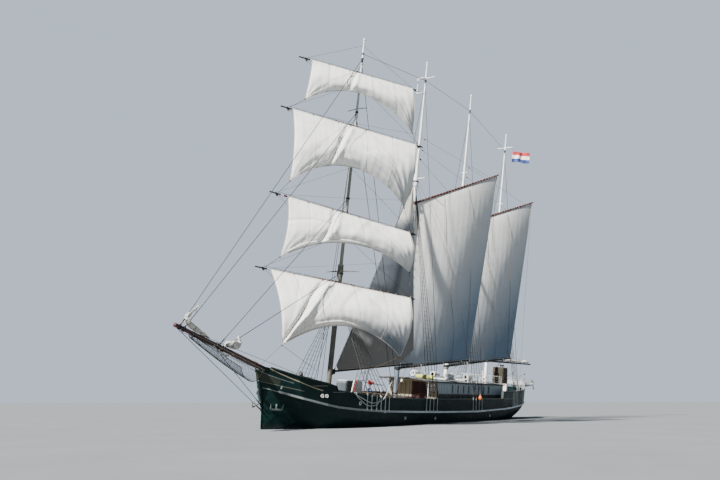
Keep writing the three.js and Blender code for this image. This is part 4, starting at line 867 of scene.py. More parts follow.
# Painted nodes: name, colour, roughness, and what else the paint has
COATS = (
    ("rail_cap", DARK_GREEN, 0.4, {"streaks": 0.2}),
    ("rubbing_strake", STRAKE_GREY, 0.5, {"tone": strake_bow_shade}),
    # The lower foremast's buff is darkened with painted shade from the sails
    ("foremast", BUFF_IN_SHADE, 0.5, {"tone": mast_tone(
        (13.2, MAST_GREY), (24.0, MAST_PALE), (30.9, WHITE), (31.72, BLACK), (31.98, WHITE))}),
    # The main mast is painted shade blue below 6.3 m: painted shade from the sails above
    ("mainmast", WHITE, 0.4, {"tone": mast_tone(
        (-2, SHADE_BLUE), (6.3, WHITE), (34.2, BLACK), (34.5, WHITE))}),
    ("mizzenmast", WHITE, 0.4, {"tone": mast_tone((34.6, BLACK), (34.9, WHITE))}),
    ("jiggermast", WHITE, 0.4, {"tone": mast_tone((33.0, BLACK), (33.3, WHITE))}),
    *((f"{name}_yard", MAROON, 0.4, {"tone": yard_tone(name)}) for name in YARDS),
    ("main_gaff mizzen_gaff", MAROON, 0.4, {}),
    ("bowsprit", shade(MAROON, 0.75), 0.4, {}),
    ("door_port door_starboard", (0.032, 0.008, 0.01), 0.4, {"streaks": 0.1}),
    ("main_boom mizzen_boom jigger_boom staysail_boom windlass bow_bitts stern_bitts", BLACK, 0.45,
     {"worn": RUSTY}),
    ("stern_davits", (0.34, 0.37, 0.37), 0.45, {}),
    ("liferafts_forward liferafts_aft", (0.60, 0.62, 0.63), 0.4, {"streaks": 0.2}),
    ("dinghy", (0.50, 0.53, 0.55), 0.45, {"streaks": 0.2}),
    ("roof_guard_rail vent_pipe", (0.82, 0.82, 0.80), 0.4, {"streaks": 0.2}),
    ("deckhouse_walls", (0.30, 0.285, 0.225), 0.5, {"tone": wall_tone}),
    ("deckhouse_roof", (0.12, 0.13, 0.135), 0.65, {"tone": roof_tone}),
    ("companion", (0.40, 0.48, 0.52), 0.5, {"tone": companion_front_shade}),
    ("rudder", DARK_GREEN, 0.5, {"tone": rudder_tone}),
)
# Nodes with other finishes: how each is made, and its values
FINISHES = (
    ("fore_deck waist_deck quarter_deck", planked, ()),
    ("anchor_port anchor_starboard", metal, ((0.12, 0.15, 0.14), 0.6, 0.3, 0.3)),
    ("steering_shelter", canvas_cover, ((0.16, 0.12, 0.08),)),
    ("helm_stand", varnished, ((0.20, 0.11, 0.05),)),
    ("helm_wheel", varnished, ((0.24, 0.13, 0.06),)),
    ("propeller", metal, ((0.55, 0.40, 0.18), 0.3, 1.0, 0.1)),
    ("head_stays fore_shrouds main_shrouds mizzen_shrouds jigger_shrouds triatic_stay main_stay", wire_lay,
     ((0.06, 0.062, 0.065), 40)),
    ("bowsprit_net", rope_paint, ((0.6, 0.57, 0.5), 50)),
    ("furled_outer_jib furled_inner_jib jigger_furled_sail", canvas_cover, ((0.78, 0.76, 0.70),)),
)


def dress(node, paint):
    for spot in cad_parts[node].material_slots:
        spot.material = paint.material


def dress_nodes():
    dress("hull", hull_paint())
    for nodes, colour, rough, more in COATS:
        for node in nodes.split():
            dress(node, painted(f"{node}_paint", colour, rough, **more))
    for nodes, finish, values in FINISHES:
        for node in nodes.split():
            dress(node, finish(f"{node}_finish", *values))


dress_nodes()

# Shared finishes of the rigging and fittings
hemp = rope_paint("hemp_lines", (0.16, 0.12, 0.08), 70)
pale_rope = rope_paint("pale_rope", (0.55, 0.52, 0.46), 70)
coil_rope = rope_paint("coil_rope", (0.22, 0.19, 0.14), 70)
dark_wire = wire_lay("dark_wire", (0.05, 0.052, 0.055), 60)
black_iron = painted("black_iron", BLACK, 0.45, RUSTY)
white_fitting = painted("white_fitting", (0.80, 0.80, 0.78), 0.4, streaks=0.25)
block_wood = varnished("block_wood", (0.16, 0.09, 0.04), 0.45)


def rope_block(kit, centre, way, size=0.13):
    """A rope block: two cheeks over a sheave, with a strop round them."""
    way = way.normalized()
    side = way.orthogonal().normalized()
    other = way.cross(side)
    cheek = [(-size * 0.16, size * 0.45), (-size * 0.1, size * 0.62), (size * 0.1, size * 0.62),
             (size * 0.16, size * 0.45)]
    for s in SIDES:
        kit.lathe(cheek, centre + side * s * size * 0.26, side, 10)
    kit.lathe([(-size * 0.12, size * 0.5), (size * 0.12, size * 0.5)], centre, side, 10)
    kit.tube([centre + (way * c + other * s) * size * 0.62 for c, s in circle(12)], size * 0.09, 5, True)
    kit.tube([centre + way * size * 0.6, centre + way * size * 1.15], size * 0.1, 5)


def tackle(kit, a, b, parts=3):
    """Several parts of a rope between two blocks."""
    way = (b - a).normalized()
    side = way.orthogonal().normalized()
    rope_block(kit, a, -way)
    rope_block(kit, b, way)
    for i in range(parts):
        shift = side * 0.035 * (i - (parts - 1) / 2)
        kit.tube([a + way * 0.08 + shift, b - way * 0.08 - shift], 0.011, 4)


def coil(kit, centre, wide=0.13, drop=0.4):
    """A coil of rope hung on a pin: long loops side by side."""
    for i in range(3):
        turn = wide * (0.62 + 0.1 * i)
        kit.tube([centre + at(0.018 * i, -turn * s * (0.55 + 0.45 * (1 - c) / 2), -drop * (1 - c) / 2)
                  for c, s in circle(14)], 0.014, 4, True)


def hang_points(kit, spot, side, radius, drops):
    """A reef point: a short end of line that hangs from a sail."""
    kit.tube([spot] + [spot + side * out - UP * down for out, down in drops], radius, 4)


def yard_iron(iron, name):
    """Jackstay with its posts, and bands."""
    r, spot = yard_radius(name), partial(yard_spot, name)

    def post(share):
        y = lerp(*yard_ends(name, 0.5), share)
        return spot(y, r * 0.4, r * 0.6), spot(y, r * 0.75, r * 0.75 + 0.05)

    iron.tube([post(share)[1] for share in steps(12)], 0.015, 5)
    for share in steps(round(YARDS[name]["length"] / 0.75)):
        iron.tube(post(share), 0.013, 5)
    for y in (*yard_ends(name, 0.35), -1.4, 1.4):
        iron.band(spot(y), YARD_WAY, r * (0.8 if abs(y) > 2 else 1.0), 0.1)


def foot_ropes(ropes, name):
    """A foot rope under each side of the yard, with its stirrups."""
    inner, count = 0.45, 16
    for s, outer in zip(SIDES, yard_ends(name, 0.4)):
        foot = []
        for share in steps(count):
            dip = 0.82 * min(1, sin(pi * max(0.02, share) ** 0.8) * 1.6) + 0.02
            foot.append(yard_spot(name, lerp(inner * s, outer, share), -0.22 * min(1, dip), -dip))
        ropes.tube(foot, 0.015, 5)
        for i in (4, 8, 12):
            top = yard_spot(name, lerp(inner * s, outer, i / count), -yard_radius(name) * 0.6)
            ropes.tube([top, foot[i]], 0.011, 4)


def square_sail_lines(thin, blocks, name):
    """Robands, buntlines, leech lines and reef points, with their blocks."""
    off, head = braced(AHEAD * 0.045), YARDS[name]["head"]
    surface, size = square_surface(name)
    r, spot, cloths = yard_radius(name), partial(yard_spot, name), round(size[0] / CLOTH_WIDTH)
    for u in steps(cloths):
        y = lerp(*head, u)
        thin.tube([surface(u, 0.0) + UP * 0.02, spot(y, r * 0.75 + 0.03, r * 0.75 + 0.07),
                   spot(y, r * 0.3, r + 0.02)], 0.010, 4)
    for u in (0.16, 0.36, 0.58, 0.8):
        thin.tube([surface(u, v) + off for v in steps(18)], 0.008, 4)
        rope_block(blocks, spot(lerp(*head, u), r + 0.05, -r * 0.2), UP, 0.08)
    for corner, inner in ((0, 0.42), (1, 0.6)):
        thin.tube([surface(lerp(inner, corner, v), v) + off * 1.3 for v in steps(14)], 0.008, 4)
        rope_block(blocks, surface(corner, 1.0) + off, UP, 0.11)
    if name in ("course", "topsail"):
        for i in range(1, cloths):
            hang_points(thin, surface(i / cloths, 0.17) + off * 0.4, off, 0.008, ((0.3, 0.18), (0.2, 0.38)))


def yard_lifts(iron, blocks, name):
    """Lifts that turn with the yard, and the sling and parrels at its middle."""
    z, r, spot = YARDS[name]["z"], yard_radius(name), partial(yard_spot, name)
    top = min(z + (4.2 if name != "royal" else 2.9), 33.6)
    for y in yard_ends(name, 0.45):
        iron.tube([on_mast("fore", top, 0.05), spot(y, 0, r)], 0.013, 4)
        rope_block(blocks, spot(y, -0.1, -0.12), UP, 0.12)
    iron.tube([spot(0, 0.0, r), on_mast("fore", z + 0.9, 0.16)], 0.02, 5)
    for y in (-0.18, 0.18):
        iron.band(spot(y), YARD_WAY, r, 0.14, 0.03)


def yard_rig():
    for name in YARDS:
        iron, ropes, thin, blocks = kits(4)
        yard_iron(iron, name)
        foot_ropes(ropes, name)
        square_sail_lines(thin, blocks, name)
        yard_lifts(iron, blocks, name)
        for kit, what, paint in ((iron, "yard_iron", black_iron), (ropes, "foot_ropes", hemp),
                                 (thin, "lines", pale_rope), (blocks, "blocks", block_wood)):
            kit.make(f"{name}_{what}", paint, body=name)


yard_rig()


def blended(kit, name, moving, start, end):
    """A line made into a piece of its own, on no body, with its transform baked in; moving, start and end are
    not used.
    """
    piece = kit.make(name, hemp, body=None)
    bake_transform(piece)


def run(name, moving, path, radius, sides=4):
    """A running line along a path from the ship to a moving body."""
    kit = Kit()
    kit.tube(path, radius, sides)
    blended(kit, name, moving, path[0], path[-1])


def straight(a, b):
    return [a, a.lerp(b, 0.5), b]


def sheets_and_braces():
    # The yards brace together, so the sheets between them turn with the sail above
    for below, above in zip(YARDS, list(YARDS)[1:]):
        kit, surface = Kit(), square_surface(above)[0]
        for u, y in enumerate(yard_ends(below, 0.55)):
            kit.tube([surface(u, 1.0), yard_spot(below, y, 0, yard_radius(below))], 0.018, 5)
        kit.make(f"{above}_sheets", dark_wire, body=above)
    course = square_surface("course")[0]
    for u, label, foot, tack in ((0, "weather", at(12.1, -3.85, 4.3), at(21.3, -2.45, 4.35)),
                                 (1, "lee", at(4.7, 3.95, 4.15), at(16.9, 3.75, 4.3))):
        run(f"course_sheet_{label}", "course", straight(foot, course(u, 1.0)), 0.017, 5)
        run(f"course_tack_{label}", "course", straight(tack, course(u, 1.0)), 0.017, 5)
    for name, z, forward in (("course", 15.4, 0.25), ("topsail", 21.6, 0.25), ("topgallant", 28.6, 0.16),
                             ("royal", 33.2, 0.12)):
        for (s, label), y in zip(SIDE_NAMES, yard_ends(name, 0.4)):
            arm = yard_spot(name, y, -yard_radius(name))
            start = on_mast("main", z, forward) + PORT * 0.22 * s
            path = [start.lerp(arm, share) - UP * 0.10 * sin(pi * share) for share in steps(8)]
            run(f"{name}_brace_{label}", name, path, 0.012)


sheets_and_braces()

# Feet of the vangs at the rail and of the boom sheets on deck
VANG_FEET = {"main": (-8.2, 2.85, 4.4), "mizzen": (-17.5, 3.45, 3.6)}
SHEET_FEET = {"main": at(-3.3, 0.9, 4.42), "mizzen": at(-13.2, 0.9, 4.42)}
PEAK_HALYARDS = ((0.38, 26.2), (0.62, 27.2), (0.88, 28.4))
LAZY_LINES = (((0.32, 0.98), (0.36, 0.7), (0.50, 0.4), (0.66, 0.16), (0.72, 0.0)),
              ((0.62, 0.99), (0.74, 0.6), (0.84, 0.3), (0.93, 0.02)))


def hoops_and_lacing(name):
    """Hoops round the mast, and lacing along the gaff and the boom."""
    hoops, surface = Kit(), gaff_surface(name)[0]
    low, high = SPARS[f"{name}_boom"][1] + 1.0, SPARS[f"{name}_gaff"][1] - 0.9
    for share in steps(17):
        z = lerp(low, high, share)
        hoops.ring(on_mast(name, z), mast_axis(name), mast_radius(name, z) + 0.055, 0.018, 5, 18)
    hoops.make(f"{name}_mast_hoops", block_wood, body=f"{name}_boom")
    for v, sign, part in ((1.0, 1, "gaff"), (0.0, -1, "boom")):
        lacing = Kit()
        for share in steps(27):
            centre = surface(0.02 + 0.96 * share, v) + UP * sign * SPAR * 0.9
            lacing.ring(centre, surface(1, v) - surface(0, v), SPAR * 1.22, 0.010, 4, 12)
        lacing.make(f"{name}_{part}_lacing", pale_rope, "canvas", f"{name}_{part}")


def gaff_sail_lines(name):
    """Three rows of reef points, and lazy lines that lie against the sail, from the leech to the boom."""
    lines, surface, side = Kit(), gaff_surface(name)[0], abeam(SPARS[f"{name}_boom"][2])
    for v, i in product((0.12, 0.21, 0.30), range(1, 14)):
        spot = surface(i / 14, v) + side * 0.03
        hang_points(lines, spot, side, 0.008, ((0.03, 0.2), (0.02, 0.36)))
        hang_points(lines, spot - side * 0.06, side, 0.008, ((-0.03, 0.34),))
    for path in LAZY_LINES:
        knots = [(lerp(u0, u1, k / 4), lerp(v0, v1, k / 4)) for (u0, v0), (u1, v1) in zip(path, path[1:])
                 for k in range(4)]
        lines.tube([surface(u, v) + side * 0.09 for u, v in (*knots, path[-1])], 0.014, 4)
    lines.make(f"{name}_sail_lines", hemp, body=f"{name}_boom")


def topping_lifts(name):
    """A lift on each side of the sail, bowed clear of its belly."""
    boom = f"{name}_boom"
    side, end = abeam(SPARS[boom][2]), on_spar(boom, 1 - 0.5 / SPARS[boom][3], 0.95)
    for (s, label), z, bow in zip(SIDE_NAMES, (24.9, 23.6), (-0.6, 1.25)):
        start, foot = on_mast(name, z, -0.05, 0.25 * s), end + side * 0.14 * s
        path = [start.lerp(foot, share) + side * bow * max(0, sin(pi * share)) ** 0.8 for share in steps(14)]
        run(f"{name}_topping_lift_{label}", boom, path, 0.014)


def halyards_and_vangs(name):
    """Peak halyards from the mast to the gaff, vangs from its end to the rails, and the throat halyard."""
    gaff, blocks = f"{name}_gaff", Kit()
    for i, (share, z) in enumerate(PEAK_HALYARDS):
        start, spot, kit = on_mast(name, z, -0.12), on_spar(gaff, share) + UP * SPAR, Kit()
        kit.line(start, spot, 0.013, 4)
        rope_block(kit, start.lerp(spot, 0.06), spot - start, 0.13)
        blended(kit, f"{name}_peak_halyard_{i + 1}", gaff, start, spot)
    peak = on_spar(gaff, 1 - 0.2 / SPARS[gaff][3], 0.98)
    rail_x, rail_y, rail_z = VANG_FEET[name]
    for s, label in SIDE_NAMES:
        run(f"{name}_vang_{label}", gaff, straight(at(rail_x, rail_y * s, rail_z), peak), 0.012)
    tackle(blocks, on_mast(name, 23.3, -0.3), on_mast(name, SPARS[gaff][1] + 0.1, -0.45), 4)
    blocks.make(f"{name}_throat_halyard", block_wood, body=gaff)


def boom_sheet(name):
    """Sheet from the boom's end to its plate on deck, and the bands round the boom."""
    boom, foot = f"{name}_boom", SHEET_FEET[name]
    sheet, plate, bands = kits(3)
    eye = on_spar(boom, 0.86) - UP * 0.14
    tackle(sheet, foot + UP * 0.14, eye, 4)
    blended(sheet, f"{name}_boom_sheet_tackle", boom, foot + UP * 0.4, eye - UP * 0.3)
    plate.lathe([(0, 0.1), (0.02, 0.1), (0.05, 0.04), (0.12, 0.04)], foot - UP * 0.06, UP, 10)
    plate.make(f"{name}_sheet_plate", black_iron)
    for share in (0.3, 0.6, 0.86, 0.985):
        bands.band(on_spar(boom, share), spar_way(boom), SPAR * (1.0 if share < 0.9 else 0.82), 0.09)
    bands.make(f"{name}_boom_bands", white_fitting, body=boom)


def gaff_rig():
    for name in GAFF_SAILS:
        hoops_and_lacing(name)
        gaff_sail_lines(name)
        topping_lifts(name)
        halyards_and_vangs(name)
        boom_sheet(name)


gaff_rig()

# The hull's rail and strake, found on the solids that carry them
RAIL, STRAKE, EDGES = "rail_cap", "rubbing_strake", {}
SEARCH = {"from_y": 4.6, "step": 0.01, "count": 450, "from_z": 12, "from_side": 12}


def at_x(node, x, side=1):
    """The outermost point of a rail or strake at x, on its upper side."""
    if (node, x) not in EDGES:
        EDGES[node, x] = None
        for i in range(SEARCH["count"]):
            start = at(x, SEARCH["from_y"] - SEARCH["step"] * i, SEARCH["from_z"])
            hit, spot, _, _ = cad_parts[node].ray_cast(start * HALF, -UP)
            if hit:
                EDGES[node, x] = spot / HALF
                break
    found = EDGES[node, x]
    return at(found.x, side * found.y, found.z) if found else at_x(node, x * 0.98, side)


def on_hull(x, z, side=1):
    """The topside at x and z, with its outward normal."""
    start = at(x, SEARCH["from_side"] * side, z)
    hit, spot, normal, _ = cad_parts["hull"].ray_cast(start * HALF, PORT * -side)
    return (spot / HALF, normal.normalized()) if hit else (at_x(RAIL, x, side), PORT * side)


# Standing rigging: lower shrouds' height, plates fore and aft of the mast, backstays as plate and height,
# and how many of the shrouds carry rungs
SHROUDS = {
    "fore": (10.9, (-0.1, -0.7, -1.4, -2.0, -2.6, -3.2), ((-3.7, 26.6), (-4.4, 31.6)), 5),
    "main": (23.1, (1.1, 0.45, -0.25, -0.95), ((-0.95, 34.1),), 4),
    "mizzen": (23.1, (1.1, 0.4, -0.35, -1.1), ((-1.1, 34.6),), 4),
    "jigger": (22.9, (-0.1, -0.7, -1.3, -1.9), ((-1.9, 33.0),), 4),
}
STAY_THICK = 0.024
RUNG_GAP = 0.42
plate_paint = painted("chainplate_paint", (0.50, 0.56, 0.54), 0.45, streaks=0.3)


def bottle_screw(kit, low, high):
    """A rigging screw at the low end of a stay: open body, two threaded ends and a fork."""
    way = (high - low).normalized()
    kit.lathe([(0, 0.03), (0.1, 0.03), (0.12, 0.045), (0.5, 0.045), (0.52, 0.028), (0.66, 0.028)], low, way,
              8)
    kit.block(low + way * 0.03, (0.05, 0.09, 0.12))


def shroud_piece(name, shroud_z, plate_rows, backstays, rung_count):
    wires, plates, rungs, screws = kits(4)
    head = on_mast(name, shroud_z)
    every = sorted({*plate_rows, *(rel for rel, _ in backstays)}, reverse=True)
    for side in SIDES:
        tops = {}
        for rel in every:
            rail, strake = [at_x(node, MASTS[name]["x"] + rel, side) for node in (RAIL, STRAKE)]
            tops[rel] = top = rail + at(0, 0.04 * side, 0.12)
            if rel not in plate_rows:
                screws.block(rail + at(0, 0.05 * side, -0.1), (0.07, 0.03, 0.4), bevel=0.008)
                continue
            foot = strake - UP * 0.02
            plates.block((top + foot) / 2, (0.075, 0.03, (top - foot).length),
                         (AHEAD, PORT, (top - foot).normalized()), 0.008)
            plates.block(foot + at(0, 0.012 * side, 0.05), (0.14, 0.05, 0.2), bevel=0.015)
        screws.tube([tops[rel] for rel in every], 0.022)
        for rel, z in (*((rel, shroud_z) for rel in plate_rows), *backstays):
            low, high = tops[rel], on_mast(name, z)
            high += (low - high).normalized() * (mast_radius(name, z) + 0.04)
            wires.line(low, high, STAY_THICK)
            bottle_screw(screws, low, high)
        # Rungs across the lower shrouds, and a sheer bar above the screws
        reach = (head - tops[plate_rows[0]]).length
        for i in range(2, int(min(reach * 0.86, 17) / RUNG_GAP)):
            rungs.tube([tops[rel].lerp(head, i * RUNG_GAP / reach) - UP * 0.012 * (k % 2)
                        for k, rel in enumerate(plate_rows[:rung_count])], 0.011, 4)
        rungs.tube([tops[rel].lerp(head, 0.9 / reach) for rel in plate_rows], 0.028)
    for z in (shroud_z, *(height for _, height in backstays)):
        mast_band(plates, name, z)
    wires.make(f"{name}_shroud_wires", dark_wire, replaces=[f"{name}_shrouds"])
    plates.make(f"{name}_chainplates", plate_paint, "white_paint")
    rungs.make(f"{name}_ratlines", hemp)
    screws.make(f"{name}_rigging_screws", black_iron)


for mast_name, shroud_row in SHROUDS.items():
    shroud_piece(mast_name, *shroud_row)

SPRIT_HEEL, SPRIT_TIP = at(22.9, 0, 4.12), at(32.2, 0, 6.72)
SPRIT_WAY = SPRIT_TIP - SPRIT_HEEL
SPRIT = {"heel": 0.22, "end": 0.13}
HEAD_STAYS = ((32.1, 0.965), (27.0, 0.925), (19.1, 0.58), (12.55, 0.53))
BOBSTAYS = ((0.965, at(23.29, 0, 1.35)), (0.6, at(23.42, 0, 1.75)))
TRIATIC = (("fore", 32.6), ("main", 34.6), ("mizzen", 35.1), ("jigger", 33.5))
NET = {"tip": 0.86, "end": (24.6, 1.1, 4.25), "sag": 0.12, "fore": 0.32, "aft": 0.92}


def along_sprit(share):
    return SPRIT_HEEL.lerp(SPRIT_TIP, share)


def sprit_radius(share):
    return lerp(SPRIT["heel"], SPRIT["end"], share)


def head_rig():
    wires, bands, screws, cap, triatic, trucks = kits(6)
    for z, share in HEAD_STAYS:
        high, low = on_mast("fore", z), along_sprit(share)
        way = (low - high).normalized()
        high, low = high + way * (mast_radius("fore", z) + 0.05), low - way * (sprit_radius(share) + 0.06)
        wires.line(high, low, STAY_THICK * 1.1)
        bottle_screw(screws, low, high)
        mast_band(bands, "fore", z)
    for share, foot in BOBSTAYS:
        low = along_sprit(share) - UP * (sprit_radius(share) + 0.05)
        wires.line(low, foot, STAY_THICK * 0.9)
        screws.block(foot, (0.09, 0.13, 0.18), bevel=0.02)
        bottle_screw(screws, foot.lerp(low, 0.01), low)
    for share in [share for _, share in HEAD_STAYS] + [share for share, _ in BOBSTAYS]:
        bands.band(along_sprit(share), SPRIT_WAY, sprit_radius(share - 0.01), 0.12, 0.045)
    # Guys from the tip of the bowsprit to the bows, and the foot line under the spar
    for side in SIDES:
        wires.line(along_sprit(0.955) + PORT * side * 0.15, on_hull(21.6, 3.9, side)[0], 0.016, 5)
    wires.tube([along_sprit(lerp(0.53, 0.965, i / 8)) - UP * (0.2 + 0.05 * sin(i)) for i in range(9)], 0.014,
               5)
    wires.make("head_stay_wires", dark_wire, replaces=["head_stays"])
    bands.make("head_stay_bands", black_iron, "black_paint")
    screws.make("head_stay_screws", black_iron)
    # Cap at the tip and the gammoning at the stem
    cap.lathe([(-0.08, 0.14), (0.06, 0.145), (0.10, 0.1), (0.12, 0.03)], SPRIT_TIP, SPRIT_WAY)
    for share in (0.155, 0.17, 0.185):
        cap.ring(along_sprit(share), SPRIT_WAY, sprit_radius(share) + 0.015, 0.018)
    cap.make("bowsprit_cap", painted("cap_paint", shade(MAROON, 0.6), 0.6), "maroon_paint")
    for (before, z0), (name, z1) in zip(TRIATIC, TRIATIC[1:]):
        a, b = on_mast(before, z0), on_mast(name, z1)
        way = (b - a).normalized() * 0.12
        triatic.tube([a + way, a.lerp(b, 0.5), b - way], STAY_THICK * 0.8)
    for name, z in TRIATIC:
        mast_band(triatic, name, z, 0.12)
    triatic.make("triatic_wires", dark_wire, replaces=["triatic_stay"])
    for name, plan in MASTS.items():
        trucks.sphere(on_mast(name, plan["truck"] - 0.05), 0.12, 0.9, 14)
        trucks.lathe([(-0.05, 0.05), (0.0, 0.11), (0.06, 0.11), (0.1, 0.05)],
                     on_mast(name, plan["truck"] - 0.35), mast_axis(name), 12)
    trucks.make("mast_trucks", white_fitting, "white_paint")


head_rig()


def net_point(u, v):
    end_x, end_y, end_z = NET["end"]
    port, starboard = [
        (along_sprit(NET["tip"]) + at(0, side * (sprit_radius(NET["tip"]) + 0.03), -0.02)).lerp(
            at(end_x, side * end_y, end_z), u) for side in (1, -1)]
    deep = lerp(NET["fore"], NET["aft"], u) + NET["sag"] * sin(pi * u)
    return port.lerp(starboard, v) - UP * deep * max(0.0, 1 - (2 * v - 1) ** 2) ** 0.7


def bow_net():
    cords, ropes = kits(2)
    long, wide = 44, 12
    for i, mirrored in product(range(-wide, long + 1), (False, True)):
        points = [net_point((i + k) / long, (wide - k if mirrored else k) / wide) for k in range(wide + 1)
                  if 0 <= i + k <= long]
        if len(points) > 1:
            cords.tube(points, 0.008, 4)
    for v, radius in ((0, 0.026), (1, 0.026), (0.5, 0.02), (0.4, 0.014), (0.6, 0.014)):
        ropes.tube([net_point(u, v) for u in steps(20)], radius, 5)
    for u in (0.02, 0.98):
        ropes.tube([net_point(u, v) for v in steps(12)], 0.02, 5)
    # Lashings up to the spar's foot line
    for i in range(1, 12):
        top = along_sprit(lerp(NET["tip"], 0.19, i / 12)) - UP * 0.1
        ropes.tube([net_point(i / 12, 0.0 if i % 2 else 1.0), top], 0.009, 4)
    cords.make("bow_net_mesh", rope_paint("net_cord_dark", (0.022, 0.023, 0.02)), "net_cord",
               replaces=["bowsprit_net"])
    ropes.make("bow_net_ropes", rope_paint("net_rope_olive", (0.16, 0.15, 0.115)), "net_cord")


bow_net()


def smooth_path(rows, count):
    """Points and radii along rows of (point, radius), eased between them."""
    made, last = [], len(rows) - 1
    for share in steps(count):
        k = min(int(share * last), last - 1)
        f = share * last - k
        near = [rows[max(k - 1, 0)], rows[k], rows[k + 1], rows[min(k + 2, last)]]
        weights = (-0.5 * f + f * f - 0.5 * f ** 3, 1 - 2.5 * f * f + 1.5 * f ** 3,
                   0.5 * f + 2 * f * f - 1.5 * f ** 3, -0.5 * f * f + 0.5 * f ** 3)
        made.append((sum((point * w for (point, _), w in zip(near, weights)), V((0, 0, 0))),
                     max(0.02, sum(radius * w for (_, radius), w in zip(near, weights)))))
    return made


def bundle(name, rows, colour, body="ship", replaces=(), gaskets=2, count=30, sides=22, ragged=0.22,
           seed=5.5):
    """Furled canvas: a bundle along a path, pinched by its gaskets, with folds that run along it."""
    path, rings = smooth_path(rows, count), []
    for i, (centre, radius) in enumerate(path):
        way = (path[min(i + 1, count)][0] - path[max(i - 1, 0)][0]).normalized()
        side = (PORT - way * way.y).normalized()
        up = side.cross(way)
        if up.z < 0 and abs(way.z) < 0.9:
            up = -up
        far, ring = i / count * gaskets, []
        pinch = 1 - 0.26 * exp(-((far % 1.0 - 0.5) / 0.09) ** 2)
        for c, s in circle(sides):
            fold = noise.noise(at(c * 2.3 + seed, s * 2.3, far * 0.7))
            crease = abs(noise.noise(at(c * 5 + seed, s * 5, far * 1.6)))
            r = radius * pinch * (1 + ragged * fold * 1.6 - ragged * 0.9 * crease)
            ring.append(centre + side * c * r + up * s * r * (0.85 if s < 0 else 1.0))
        rings.append(ring)
    kit, ties = kits(2)
    kit.loft(rings)
    kit.make(name, canvas_cover(*colour), "canvas", body, replaces)
    for g in range(gaskets):
        i = min(count - 1, max(1, round((g + 0.5) / gaskets * count)))
        ring = [p + (p - path[i][0]).normalized() * 0.008 for p in rings[i]]
        ties.tube(ring, 0.014, 5, True)
        ties.tube([ring[0], ring[0] - at(0.02, -0.02, 0.14), ring[0] - at(-0.02, -0.03, 0.26)], 0.010, 4)
    ties.make(f"{name}_gaskets", hemp, body=body)


# Furled canvas by x, height above the bowsprit and radius
OUTER_JIB = ((29.2, 0.07, 0.06), (29.7, 0.14, 0.12), (30.2, 0.2, 0.17), (30.7, 0.26, 0.2), (31.15, 0.36, 0.2),
             (31.35, 0.62, 0.17), (31.15, 0.95, 0.12), (30.8, 1.35, 0.07), (30.45, 1.75, 0.04))
INNER_JIB = ((27.65, 0.12, 0.09), (27.4, 0.24, 0.2), (27.0, 0.36, 0.28), (26.6, 0.44, 0.3), (26.3, 0.75, 0.2),
             (26.45, 1.15, 0.06))
LOOSE_FOLD = ((29.0, -0.32, 0.03), (28.6, -0.5, 0.07), (28.1, -0.62, 0.09), (27.7, -0.6, 0.08),
              (27.4, -0.42, 0.04))


def sprit_top(x, height, port=0.0):
    share = (x - SPRIT_HEEL.x) / SPRIT_WAY.x
    return along_sprit(share) + at(0, port, sprit_radius(share) + height)


def furled():
    bundle("outer_jib_bundle", [(sprit_top(x, z), r) for x, z, r in OUTER_JIB],
           ("furled_jib_canvas", (0.62, 0.60, 0.53)),
           replaces=["furled_outer_jib"], gaskets=7, count=70, ragged=0.34, seed=3.1)
    bundle("inner_jib_bundle", [(sprit_top(x, z), r) for x, z, r in INNER_JIB],
           ("furled_inner_canvas", (0.74, 0.72, 0.66)), replaces=["furled_inner_jib"], gaskets=4, count=50,
           ragged=0.3, seed=8.2)
    # A loose fold of canvas that hangs from the bowsprit
    bundle("hanging_canvas", [(sprit_top(x, z, 0.27), r) for x, z, r in LOOSE_FOLD],
           ("hanging_fold", (0.72, 0.71, 0.67)),
           sides=14)
    # Jackline from the inner jib to the stem
    kit = Kit()
    kit.tube([sprit_top(lerp(27.2, 24.3, s), -0.46 - 0.05 * sin(pi * s), 0.26) for s in steps(8)], 0.03, 5)
    kit.make("bowsprit_jackline", painted("jackline_white", (0.75, 0.76, 0.76), 0.5))
    # Furled jigger sail along its boom
    rows = []
    for i in range(15):
        share = 0.05 + 0.9 * i / 14
        fat = 0.2 + 0.05 * sin(i * 2.1) - 0.07 * share
        rows.append((on_spar("jigger_boom", share) + UP * (SPAR + fat * 0.95), fat * 1.06))
    bundle("jigger_bundle", rows, ("furled_jigger_canvas", (0.76, 0.75, 0.71)), "jigger",
           ["jigger_furled_sail"], gaskets=11, count=120, ragged=0.26, seed=1.7)


furled()


def flags():
    """A striped ensign at the jigger masthead and a small one in the waist."""
    stripes = ((0.0, (0.42, 0.02, 0.025)), (0.335, (0.80, 0.80, 0.78)), (0.67, (0.015, 0.04, 0.20)))
    hoist = on_mast("jigger", 33.3, 0.0, 1.05)
    flight, down = at(-0.5, 0.86, 0) * 2.15, mast_axis("jigger") * -1.4
    top = at_x(RAIL, 15.6) + at(0, 0.1, 1.1)

    def ensign(u, v):
        wave = 0.16 * sin(u * 8.5 - v * 1.6) * min(1, u * 2.5) + 0.05 * sin(u * 17 + v * 3)
        return hoist + flight * u + down * v + at(0.86, 0.5, 0) * wave - UP * 0.12 * u * u

    def courtesy(u, v):
        wide = lerp(0.95, 0.3, min(1, v * 1.6))
        return top + at(-wide * u + 0.04 * sin(v * 6), 0.06 * sin(u * 9 + v * 2),
                        -0.9 * v - 0.16 * u * (1 - v))

    cloth_piece("ensign", ensign, striped("ensign_cloth", stripes), "ship", (40, 24),
                thick=0.006)
    kit = Kit()
    kit.tube([on_mast("jigger", 33.9, 0, 0.98), hoist, hoist + down, on_mast("jigger", 26.35, -0.05, 0.35)],
             0.010, 4)
    kit.make("ensign_halyard", hemp)
    cloth_piece("waist_flag", courtesy, striped("waist_flag_cloth", stripes), "ship", (16, 24),
                thick=0.006)


flags()

